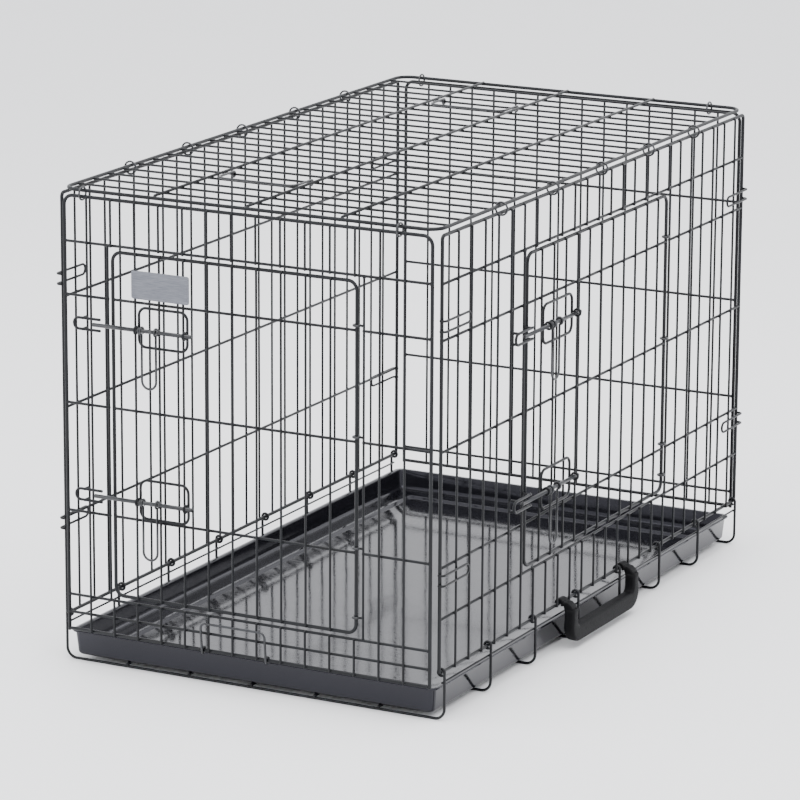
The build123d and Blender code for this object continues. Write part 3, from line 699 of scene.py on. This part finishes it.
def floor_parts():
    """Floor wires, the long wires over them and their beads."""
    xs = spread(-POST_X, POST_X, 6)
    z = GROUND_Z + LINE_WIRE + WELD_GAP
    long = np.array([[(x, -FLOOR_HALF - 3, z), (x, FLOOR_HALF + 3, z)] for x in xs])
    touching = [(x, y, z - LINE_WIRE / 2) for x in xs for y in FLOOR_PLACES]
    wires = [tube(floor_wire(y), LINE_WIRE) for y in FLOOR_PLACES]
    return wires + [rods(long[:, 0], long[:, 1], LINE_WIRE), beads(touching, 1.7)]


def rail_parts():
    """The thin rail inside the posts on each side."""
    x = POST_X - LINE_WIRE / 2 - RAIL_WIRE / 2
    y = FLOOR_HALF + 2
    beads_at = [(s * (x + RAIL_WIRE / 2), at, RAIL_Z) for s in (-1, 1) for at in FLOOR_PLACES]
    starts, stops = ([(s * x, at, RAIL_Z) for s in (-1, 1)] for at in (-y, y))
    return [rods(starts, stops, RAIL_WIRE), beads(beads_at, 1.6)]


piece(
    "floor_wires", floor_parts(), "floor", WIRE,
    ["floor_panel", "right_floor_hinge_eyes", "left_floor_hinge_eyes"],
)
piece("floor_rail_wires", rail_parts(), "floor", WIRE, ["floor_side_rails"])

# %% [markdown]
# ## Corner hooks
# A hairpin lies across the last two cross wires of a side, and its two fingers are bent in over
# the corner, where they hold the end panel square.

# %% Bend the hooks
HOOK_LEVELS, HOOK_SPREAD = [490.0, 178.0], 13.0


def hook(side, end, z):
    """One hairpin: in over the corner, along the side, round its closed end and back."""
    half = HOOK_SPREAD / 2
    x = side * (SIDE_X + OUTER_OUT + CROSS_WIRE / 2 + WELD_GAP)
    y_tip = end * (SIDE_HALF + FRAME_WIRE / 2 + CROSS_WIRE / 2 + WELD_GAP)
    y_far = end * (SIDE_HALF - 1.6 * 2 * SIDE_HALF / SIDE_SPACES - half)
    low, high, tip = z - half, z + half, side * (SIDE_X - 1)
    bent_low = route([(tip, y_tip, low), (x, y_tip, low), (x, y_far + end * half, low)], 4.0)
    turn = loop((x, y_far + end * half, z), (0, 0, -half), (0, -end * half, 0), 180, 11)
    bent_high = bent_low[::-1] * (1, 1, 0) + (0, 0, high)
    return np.concatenate([bent_low[:-1], turn, bent_high[1:]])


for side, word in ((1, "right"), (-1, "left")):
    hooks = [tube(hook(side, end, z), CROSS_WIRE) for end in (-1, 1) for z in HOOK_LEVELS]
    piece(f"{word}_hook_set", hooks, f"{word}_side", WIRE, [f"{word}_corner_hooks"])

# %% [markdown]
# ## Doors
# A door is a small panel: a bent frame, cross wires on its face and line wires between its stiles.
# Eyes on the panel go round the hinge stile, each with a short tail that is welded to the jamb.

# %% Lay out the doors
def door_parts(plane, low, high, bottom, top, spaces, levels):
    """Frame, cross wires, line wires and beads of a door."""
    ring = [plane(s, z, 0) for s, z in ((low, bottom), (high, bottom), (high, top), (low, top))]
    across = spread(low, high, spaces)
    upright = np.array([[plane(s, bottom - 1, CROSS_OUT), plane(s, top + 1, CROSS_OUT)] for s in across])
    reach = FRAME_WIRE / 2
    long = np.array([[plane(low + reach, z, LINE_OUT), plane(high - reach, z, LINE_OUT)] for z in levels])
    rails = [plane(s, z, (CROSS_OUT + LINE_OUT) / 2 + 0.3) for s in across for z in (bottom, top, *levels)]
    ends = [plane(s, z, LINE_OUT) for s in (low + reach, high - reach) for z in levels]
    return [
        tube(route(ring, CORNER_BEND, closed=True), FRAME_WIRE, closed=True, sides=20),
        rods(upright[:, 0], upright[:, 1], CROSS_WIRE),
        rods(long[:, 0], long[:, 1], LINE_WIRE),
        beads(rails, 1.9),
        beads(ends, 2.1),
    ]


def eye_parts(plane, stile, heights):
    """An eye round the stile at each height."""
    return [tube(circle(plane(stile, z, 0), (0, 0, 1), EYE), RING_WIRE, closed=True) for z in heights]


def tail_parts(plane, stile, heights):
    """A short tail from each eye to the jamb."""
    near, far = stile + EYE + RING_WIRE / 2, stile + JAMB_REACH + RING_WIRE - CROSS_WIRE
    starts, stops = ([plane(s, z, 0) for z in heights] for s in (near - 1, far + 0.4))
    return [rods(starts, stops, RING_WIRE)]


FRONT_EYES, SIDE_EYES = [480.0, 343.0, 205.0, 118.0], [477.0, 341.0, 198.0, 156.0]
front_plane, right_plane = end_plane(-1), side_plane(1)
DOORS = (
    ("front", front_plane, FRONT_DOOR, 10, FRONT_LINES[1:4], FRONT_EYES, "front_end"),
    ("side", right_plane, SIDE_DOOR, 12, SIDE_LINES[1:4], SIDE_EYES, "right_side"),
)
for word, plane, door, spaces, levels, eyes, panel in DOORS:
    low, high, bottom, top = door.values()
    wires = door_parts(plane, low, high, bottom, top, spaces, levels)
    piece(f"{word}_door_wires", wires, f"{word}_door", WIRE, [f"{word}_door"])
    piece(f"{word}_eye_set", eye_parts(plane, high, eyes), panel, RUBBED, [f"{word}_door_hinge_eyes"])
    piece(f"{word}_tail_set", tail_parts(plane, high, eyes), panel, WIRE, [f"{word}_hinge_tails"])

# %% [markdown]
# ## Latches
# Each slide bolt runs in two eyes on a rounded loop that lies flat on the door. A pull hangs on
# the bolt between two collars: one wire that starts as an eye, runs down, round and up, and ends
# as the second eye. The keeper on the panel is a fork with a closed round end.

# %% Place the latches
def heading(plane):
    """The direction in which a panel's along coordinate grows, in the crate's axes."""
    return np.subtract(plane(1, 0, 0), plane(0, 0, 0))


def guide_parts(plane, near, far, level, half, bolt_level):
    """The loop flat on the door, and an eye for the bolt on each of its uprights."""
    depth = OUTER_OUT + LINE_WIRE / 2 + WELD_GAP
    corners = ((near, -half), (far, -half), (far, half), (near, half))
    loop_path = [plane(s, level + h, depth) for s, h in corners]
    eyes = [circle(plane(s, bolt_level, BOLT_OUT), heading(plane), BOLT_EYE) for s in (near, far)]
    return [
        tube(route(loop_path, 10.0, closed=True), LINE_WIRE, closed=True),
        *(tube(eye, RING_WIRE, closed=True) for eye in eyes),
    ]


def keeper_parts(plane, near, far, level, feet, half=7.0):
    """The fork: two prongs joined by half a circle, on short feet."""
    centre = np.array(plane(near, level, BOLT_OUT))
    upper = [plane(far, level + half, BOLT_OUT)]
    turn = loop(centre, (0, 0, half), -half * heading(plane), 180, 13)
    lower = [plane(far, level - half, BOLT_OUT)]
    inner = OUTER_OUT + 0.2
    starts = [plane(s, level + r, inner) for s in feet for r in (-half, half)]
    stops = [plane(s, level + r, BOLT_OUT) for s in feet for r in (-half, half)]
    fork = tube(np.concatenate([upper, turn, lower]), LINE_WIRE)
    return [fork, rods(starts, stops, LINE_WIRE), beads(stops, 2.0)]


def spun(profile, start, axis, sides=20):
    """A turned solid: profile (distance along the axis, radius) spun about the axis from start."""
    profile, start, axis = np.asarray(profile, float), np.asarray(start, float), unit(axis)
    u = unit(np.cross(axis, (0.31, 0.57, 0.76)))
    v = np.cross(axis, u)
    turn = np.linspace(0, 2 * np.pi, sides, endpoint=False)
    around = np.cos(turn)[:, None] * u + np.sin(turn)[:, None] * v
    return capped(start + profile[:, :1, None] * axis + profile[:, 1:, None] * around[None])


def bolt_parts(plane, tip, tail, pull_at, level, half=10.0):
    """The rod with a round tip and two collars, as one turned profile."""
    r, collar, slack = BOLT_WIRE / 2, 4.2, half + RING_WIRE / 2 + 0.5
    nose = np.radians(np.linspace(8, 90, 7))
    profile = [(1.6 - 1.6 * np.cos(t), r * np.sin(t)) for t in nose]
    for at in (pull_at - tip - slack - 3.0, pull_at - tip + slack):
        profile += [(at, r), (at + 0.15, collar - 0.5), (at + 0.6, collar)]
        profile += [(at + 2.4, collar), (at + 2.85, collar - 0.5), (at + 3.0, r)]
    end = tail - tip
    profile += [(end - 0.5, r), (end, r - 0.5)]
    return [spun(profile, plane(tip, level, BOLT_OUT), heading(plane))]


def pull_parts(plane, at, level, half=10.0, drop=72.0):
    """One wire: eye, leg, round foot, leg, eye, with the eyes round the bolt."""
    along = heading(plane)
    out = np.subtract(plane(0, 0, 1), plane(0, 0, 0))
    middle = np.array(plane(at, level, BOLT_OUT))
    eyes = [loop(middle + s * half * along, (0, 0, -BOLT_EYE), BOLT_EYE * out, 330, 18) for s in (-1, 1)]
    foot = loop(middle - (0, 0, drop - half), -half * along, (0, 0, -half), 180, 13)
    return [tube(np.concatenate([eyes[0][::-1], foot, eyes[1]]), RING_WIRE)]


SIDE_PITCH = 2 * SIDE_HALF / SIDE_SPACES
FRONT_LATCH = dict(
    plane=front_plane, levels=dict(upper=443.0, lower=226.0), tip=-206, tail=-66, pull=-126,
    guide=(-144, -76), rise=2.5, half=24.5, fork=(-225, -194),
    feet=[-END_HALF + 2 * END_HALF / END_SPACES], panel="front_end",
)
SIDE_LATCH = dict(
    plane=right_plane, levels=dict(upper=438.0, lower=227.0), tip=-252, tail=-92, pull=-162,
    guide=(-183, -101), rise=0.0, half=25, fork=(-267, -226),
    feet=[k * SIDE_PITCH - SIDE_HALF for k in (5, 6)], panel="right_side",
)
fixed = []
for door, latch in (("front", FRONT_LATCH), ("side", SIDE_LATCH)):
    plane, guides, forks = latch["plane"], [], []
    for word, z in latch["levels"].items():
        guides += guide_parts(plane, *latch["guide"], z + latch["rise"], latch["half"], z)
        forks += keeper_parts(plane, *latch["fork"], z, latch["feet"])
        bolt = bolt_parts(plane, latch["tip"], latch["tail"], latch["pull"], z)
        piece(f"{door}_{word}_rod", bolt, f"{door}_{word}_bolt", RUBBED, [f"{door}_{word}_bolt"])
        pull = pull_parts(plane, latch["pull"], z)
        piece(f"{door}_{word}_pull_wire", pull, f"{door}_{word}_pull", RUBBED, [f"{door}_{word}_pull"])
    fixed.append((f"{door}_guide_loops", guides, f"{door}_door", WIRE, [f"{door}_latch_guides"]))
    fixed.append((f"{door}_keeper_forks", forks, latch["panel"], WIRE, [f"{door}_latch_keepers"]))
for parts in fixed:
    piece(*parts)

# %% [markdown]
# ## Tray stop and bails
# The tray stop and the two loose bails are also single wires: an eye, a leg, a bar, a leg, an eye.

# %% Bend the small loops
def eyed_loop(left, right, pivot, rise, out, reach, eye, turn):
    """A U of wire with an eye on each leg; the legs leave the eyes on the side called out.

    pivot is the hinge line's point at x = 0, and the legs run along rise.
    """
    pivot, rise, out = (np.asarray(v, float) for v in (pivot, rise, out))
    x = np.array([1.0, 0, 0])
    base = pivot + out * eye
    corners = [base + x * left, base + x * left + rise * reach, base + x * right + rise * reach,
               base + x * right]
    legs = route(corners, turn)
    first = loop(pivot + x * left, eye * out, -eye * rise, 320, 18)[::-1]
    last = loop(pivot + x * right, eye * out, -eye * rise, 320, 18)
    return [tube(np.concatenate([first, legs[1:-1], last]), RING_WIRE)]


LEAN = np.radians(6.0)
stop = eyed_loop(
    left=-60, right=30, pivot=(0, -END_Y, END_BOTTOM_Z), rise=(0, -np.sin(LEAN), np.cos(LEAN)),
    out=(0, -np.cos(LEAN), -np.sin(LEAN)), reach=37.0, eye=EYE, turn=7.0,
)
piece("tray_stop_wire", stop, "tray_stop", RUBBED, ["tray_stop"])

BAIL_EYE = CROSS_WIRE / 2 + 0.3 + RING_WIRE / 2
ROOF_PITCH = 2 * ROOF_Y / SIDE_SPACES
for word, y in (("front", 5 * ROOF_PITCH - ROOF_Y), ("rear", ROOF_Y - 4 * ROOF_PITCH)):
    bail = eyed_loop(
        left=-119, right=-9, pivot=(0, y, ROOF_CROSS_Z), rise=(0, -1, 0), out=(0, 0, 1),
        reach=44.0, eye=BAIL_EYE, turn=12.0,
    )
    piece(f"{word}_bail_wire", bail, f"{word}_bail", RUBBED, [f"{word}_roof_bail"])

# %% [markdown]
# ## Tray
# The tray is one skin of even thickness. Its wall profile is a list of (inset from the rim,
# height) points: rolled lip, drafted wall, soft bend into the border, the small step down to the
# sunk floor. Every profile point makes one rounded rectangle, so the tray is a grid of
# profile x outline, and the floor closes the inner edge. The radius of the corner shrinks with the
# inset, and the floor is given a shallow dish of 0.3 mm, as a formed sheet relaxes.

# %% Form the tray
TRAY = dict(half=258.0, front=-446.0, rear=442.0, rim=40.5, floor=7.12, wall=3.0, lip=4.0)
TRAY |= dict(border=40.0, step=4.0, corner=12.0)


def outline(inset, height, corner_steps=9, side_steps=12):
    """A rounded rectangle at an inset and a height, with the same number of points for any inset."""
    x, y0, y1 = TRAY["half"] - inset, TRAY["front"] + inset, TRAY["rear"] - inset
    r = max(TRAY["corner"] - inset, 7.0)
    corners = [(x - r, y1 - r, 0), (-x + r, y1 - r, 90), (-x + r, y0 + r, 180), (x - r, y0 + r, 270)]
    path = []
    for k, (cx, cy, first) in enumerate(corners):
        t = np.radians(np.linspace(first, first + 90, corner_steps))
        arc = np.stack([cx + r * np.cos(t), cy + r * np.sin(t)], 1)
        nx, ny, start = corners[(k + 1) % 4]
        nxt = np.array([nx + r * np.cos(np.radians(start)), ny + r * np.sin(np.radians(start))])
        run = np.linspace(arc[-1], nxt, side_steps + 1)[1:-1]
        path += [arc, run]
    flat = np.concatenate(path)
    return np.column_stack([flat, np.full(len(flat), float(height))])


def tray_parts():
    """Inside skin, rolled lip and outside skin as one closed grid, with both floors."""
    rim, floor, wall, lip = TRAY["rim"], TRAY["floor"], TRAY["wall"], TRAY["lip"]
    draft, border, sunk = 2.4, TRAY["border"], floor + wall
    shelf = sunk + TRAY["step"]
    round_in = np.radians(np.linspace(0, 90, 6))
    foot = lip + wall + draft
    inside = [(lip + wall - 0.9, rim), (lip + wall - 0.2, rim - 0.3), (lip + wall + 0.1, rim - 1.2)]
    inside += [(foot + 6 - 6 * np.cos(t), shelf + 6 - 6 * np.sin(t)) for t in round_in]
    inside += [(18.0, shelf - 0.05), (26.0, shelf - 0.2), (border - 3.0, shelf - 0.3)]
    inside += [(border - 0.8, shelf - 0.9), (border + 0.6, sunk + 0.8), (border + 2.6, sunk + 0.15)]
    inside += [(70.0, sunk), (130.0, sunk - 0.3)]
    outside = [(0.9, rim), (0.25, rim - 0.3), (0.0, rim - 1.0), (0.0, rim - 2.0)]
    outside += [(0.35, rim - 2.5), (lip - 0.3, rim - 2.7), (lip + 0.1, rim - 3.4)]
    outside += [(lip + draft + 5 - 5 * np.cos(t), floor + 5 - 5 * np.sin(t)) for t in round_in]
    outside += [(border, floor), (130.0, floor)]
    return [capped([outline(i, z) for i, z in outside[::-1] + inside])]


piece("formed_tray", tray_parts(), "tray", SHEET, ["tray"], slot="tray_plastic")

# %% [markdown]
# ## Carry handle
# The handle is a loop of plastic: a rounded grip bar and two clips that reach up and snap round
# the side's bottom wire. Grip and clips are one sweep of a rounded section: along the bar, round
# the corner and up each clip. The clip's hook is a thick C round the wire.

# %% Mould the handle
HANDLE = dict(front=-112.0, rear=85.5, clip=15.0, depth=15.0, low=9.0, grip=31.0)
HANDLE["inner"] = POST_X + LINE_WIRE / 2 + 1.0


def section(u, v, corner, steps=5):
    """A rounded rectangle of half-sizes u and v as (u, v) points."""
    arcs = []
    for cu, cv, first in ((1, 1, 0), (-1, 1, 90), (-1, -1, 180), (1, -1, 270)):
        t = np.radians(np.linspace(first, first + 90, steps))
        middle = np.array([cu * (u - corner), cv * (v - corner)])
        arcs.append(middle + corner * np.stack([np.cos(t), np.sin(t)], 1))
    return np.concatenate(arcs)


def swept(path, sizes, thick, corner=3.5):
    """Sweep a rounded section along a path in a plane of constant x.

    sizes are half-widths in the path's plane and thick the half-thickness along X, per point.
    Point = path + thick_profile * X + width_profile * (tangent x X).
    """
    path = np.asarray(path, float)
    tangent = unit(np.gradient(path, axis=0))
    side = np.cross(tangent, (1.0, 0, 0))
    rows = []
    for at, across, half, deep in zip(path, side, sizes, thick):
        uv = section(deep, half, min(corner, deep - 0.1, half - 0.1))
        rows.append(at + uv[:, :1] * np.array([1.0, 0, 0]) + uv[:, 1:] * across)
    return capped(rows)


def handle_parts():
    """The swept loop, and for each clip its C hook and the shoulder that carries it."""
    x = HANDLE["inner"] + HANDLE["depth"] / 2
    half = HANDLE["clip"] / 2
    low = HANDLE["low"] + (HANDLE["grip"] - HANDLE["low"]) / 2
    y0, y1 = HANDLE["front"] + half, HANDLE["rear"] - half
    top = HINGE_Z - 7.0
    path = route([(x, y0, top), (x, y0, low), (x, y1, low), (x, y1, top)], 14.0)
    first_leg = np.linspace(path[0], path[1], 5)[1:-1]
    last_leg = path[-2] + (path[-1] - path[-2]) * np.linspace(0.25, 1, 4)[:, None]
    path = np.concatenate([path[:1], first_leg, path[1:-1], last_leg])
    on_bar = np.clip(1 - np.abs(path[:, 2] - low) / 18.0, 0, 1)
    widths = half + (11.0 - half) * on_bar ** 0.8
    depths = np.full(len(path), HANDLE["depth"] / 2 - 0.2)
    parts = [swept(path, widths, depths)]
    for y in (y0, y1):
        t = np.radians(np.linspace(-40, 235, 26))[:, None]
        ring = np.array([SIDE_X, y, HINGE_Z]) + 4.5 * np.hstack([np.cos(t), 0 * t, np.sin(t)])
        parts.append(hook_band(ring, y, half))
        parts.append(web(y, half, x))
    return parts


def hook_band(centre, y, half):
    """A thick C of rectangular section round the wire, from radius 2.85 to 6.15."""
    out = unit(centre - (SIDE_X, y, HINGE_Z))
    rows = []
    for at, o in zip(centre, out):
        uv = section(1.65, half - 0.2, 0.8, 4)
        rows.append(at + uv[:, :1] * o + uv[:, 1:] * np.array([0, 1.0, 0]))
    return capped(rows)


def web(y, half, x):
    """The sloping shoulder from the clip's post to its C hook."""
    places = ((x, -10.0), (x - 2.0, -5.5), (x - 5.0, -1.0), (SIDE_X + 5.0, 1.6))
    path = np.array([(at, y, HINGE_Z + rise) for at, rise in places])
    rows = []
    for at, deep in zip(path, (7.0, 6.2, 4.4, 2.2)):
        uv = section(deep, half - 0.2, 1.6, 4)
        rows.append(at + uv[:, :1] * np.array([0.75, 0, 0.55]) + uv[:, 1:] * np.array([0, 1.0, 0]))
    return capped(rows)


piece("moulded_handle", handle_parts(), "handle", GRAINED, ["carry_handle"], slot="handle_plastic")

# %% [markdown]
# ## Plate
# The plate is a pressed sheet with a raised rim and a face that is very slightly pillowed. Its
# height depends only on the inset from the edge, so it is a profile carried round nested rounded
# rectangles, as the tray is.

# %% Press the plate
PLATE = dict(left=-155.0, right=-74.0, bottom=480.0, top=515.0, back=-(END_Y + OUTER_OUT + 0.1))


def plate_parts():
    """Nested rounded rectangles from the back's middle, round the rim, to the face's middle."""
    left, right, bottom, top, back = PLATE.values()
    middle = np.array([(left + right) / 2, back, (bottom + top) / 2])
    u, v = (right - left) / 2, (top - bottom) / 2
    profile = [(16.0, 0.05), (4.0, 0.05), (0.3, 0.0), (0.0, 0.3), (0.0, 1.2), (0.25, 1.45)]
    profile += [(1.6, 1.45), (2.0, 1.3), (2.3, 1.0), (6.0, 1.05), (11.0, 1.12), (16.0, 1.16)]
    rows = []
    for inset, height in profile:
        flat = section(u - inset, v - inset, max(3.0 - inset, 0.6), 6)
        rows.append(middle + np.column_stack([flat[:, 0], np.full(len(flat), -height), flat[:, 1]]))
    return [capped(rows)]


piece("pressed_plate", plate_parts(), "front_door", BRUSHED, ["label_plate"], slot="plate_metal")

# %% [markdown]
# ## Studio
# The crate stands on a plain pale floor in a bright white room. One very large soft light
# overhead, a wide fill from the left and a weak one behind give the long soft glints that black
# wire shows, and a floor shadow that is soft but still there.

# %% Floor and light
def pale_floor():
    """Painted floor: base #f0f0f1 to #f4f4f5, roughness 0.50 to 0.60, in broad faint patches."""
    material, tree = blank_material("pale_studio_floor")
    place = add(tree, "ShaderNodeTexCoord").outputs["Object"]
    broad = add(tree, "ShaderNodeTexNoise", Vector=place, Scale=1 / 0.7, Detail=2.0)
    rough = add(tree, "ShaderNodeMapRange", _0=broad.outputs[0], _3=0.50, _4=0.60)
    tone = add(tree, "ShaderNodeValToRGB", _0=broad.outputs[0])
    tone.color_ramp.elements[0].color = linear("#f0f0f1")
    tone.color_ramp.elements[1].color = linear("#f4f4f5")
    shader = add(tree, "ShaderNodeBsdfPrincipled", Base_Color=tone.outputs[0], Roughness=rough.outputs[0])
    finish_surface(tree, shader)
    return material


def flat_floor(half=16000.0, steps=9):
    """A square floor on z = 0, wide enough to fill the view from any side."""
    run = np.linspace(-half, half, steps)
    return sheet([[(x, y, 0.0) for x in run] for y in run])


def stage_mesh(name, verts, faces, material):
    """A staged mesh: it belongs to the studio and not to the crate."""
    mesh = bpy.data.meshes.new(name)
    mesh.from_pydata((verts * MM).tolist(), [], faces)
    mesh.polygons.foreach_set("use_smooth", np.ones(len(mesh.polygons), bool))
    mesh.materials.append(material)
    made = bpy.data.objects.new(name, mesh)
    bpy.context.scene.collection.objects.link(made)


stage_mesh("studio_floor", *flat_floor(), pale_floor())


def soft_light(name, place, target, size, power):
    """A square area light at a place, turned to face the target."""
    data = bpy.data.lights.new(name, "AREA")
    data.size, data.energy = size, power
    lamp = bpy.data.objects.new(name, data)
    lamp.location = place
    lamp.rotation_euler = (Vector(target) - Vector(place)).to_track_quat("-Z", "Y").to_euler()
    bpy.context.scene.collection.objects.link(lamp)


soft_light("overhead_soft", (0.4, -0.9, 3.4), (0, 0, 0.2), 3.2, 150)
soft_light("left_fill", (-3.4, -2.6, 2.0), (0, 0, 0.3), 2.2, 45)
soft_light("rear_rim", (2.2, 3.0, 2.2), (0, 0, 0.4), 1.8, 24)

world = bpy.data.worlds.new("bright_room")
world.use_nodes = True
background = world.node_tree.nodes["Background"]
background.inputs["Color"].default_value = linear("#f6f7fa")
background.inputs["Strength"].default_value = 2.1
bpy.context.scene.world = world

# %% [markdown]
# ## Camera
# A long lens a few metres away, turned to look at the corner between the front and the side with
# the door. Its basis vectors are written out: back points from the crate to the lens,
# right = Z x back, up = back x right, and a small roll turns right and up about back.

# %% Aim the camera
def aim(azimuth, elevation, roll, distance, shift_right, shift_up, lens):
    """A camera that looks along -back, placed at back * distance + shifts from mid height."""
    az, el, ro = np.radians([azimuth, elevation, roll])
    back = np.array([np.sin(az) * np.cos(el), -np.cos(az) * np.cos(el), np.sin(el)])
    right = unit(np.cross((0, 0, 1.0), back))
    up = np.cross(back, right)
    place = back * distance + (0, 0, HEIGHT / 2) + right * shift_right + up * shift_up
    turned_right = right * np.cos(ro) + up * np.sin(ro)
    turned_up = up * np.cos(ro) - right * np.sin(ro)
    data = bpy.data.cameras.new("long_lens")
    data.lens = lens
    camera = bpy.data.objects.new("long_lens", data)
    matrix = np.eye(4)
    matrix[:3, 0], matrix[:3, 1], matrix[:3, 2], matrix[:3, 3] = turned_right, turned_up, back, place * MM
    camera.matrix_world = Matrix(matrix.tolist())
    bpy.context.scene.collection.objects.link(camera)
    bpy.context.scene.camera = camera
    return camera


camera = aim(
    azimuth=27.557, elevation=14.23, roll=0.308, distance=5747.8, shift_right=-21.8, shift_up=-34.6,
    lens=199.0,
)
print("camera at", [round(c, 3) for c in camera.matrix_world.translation])
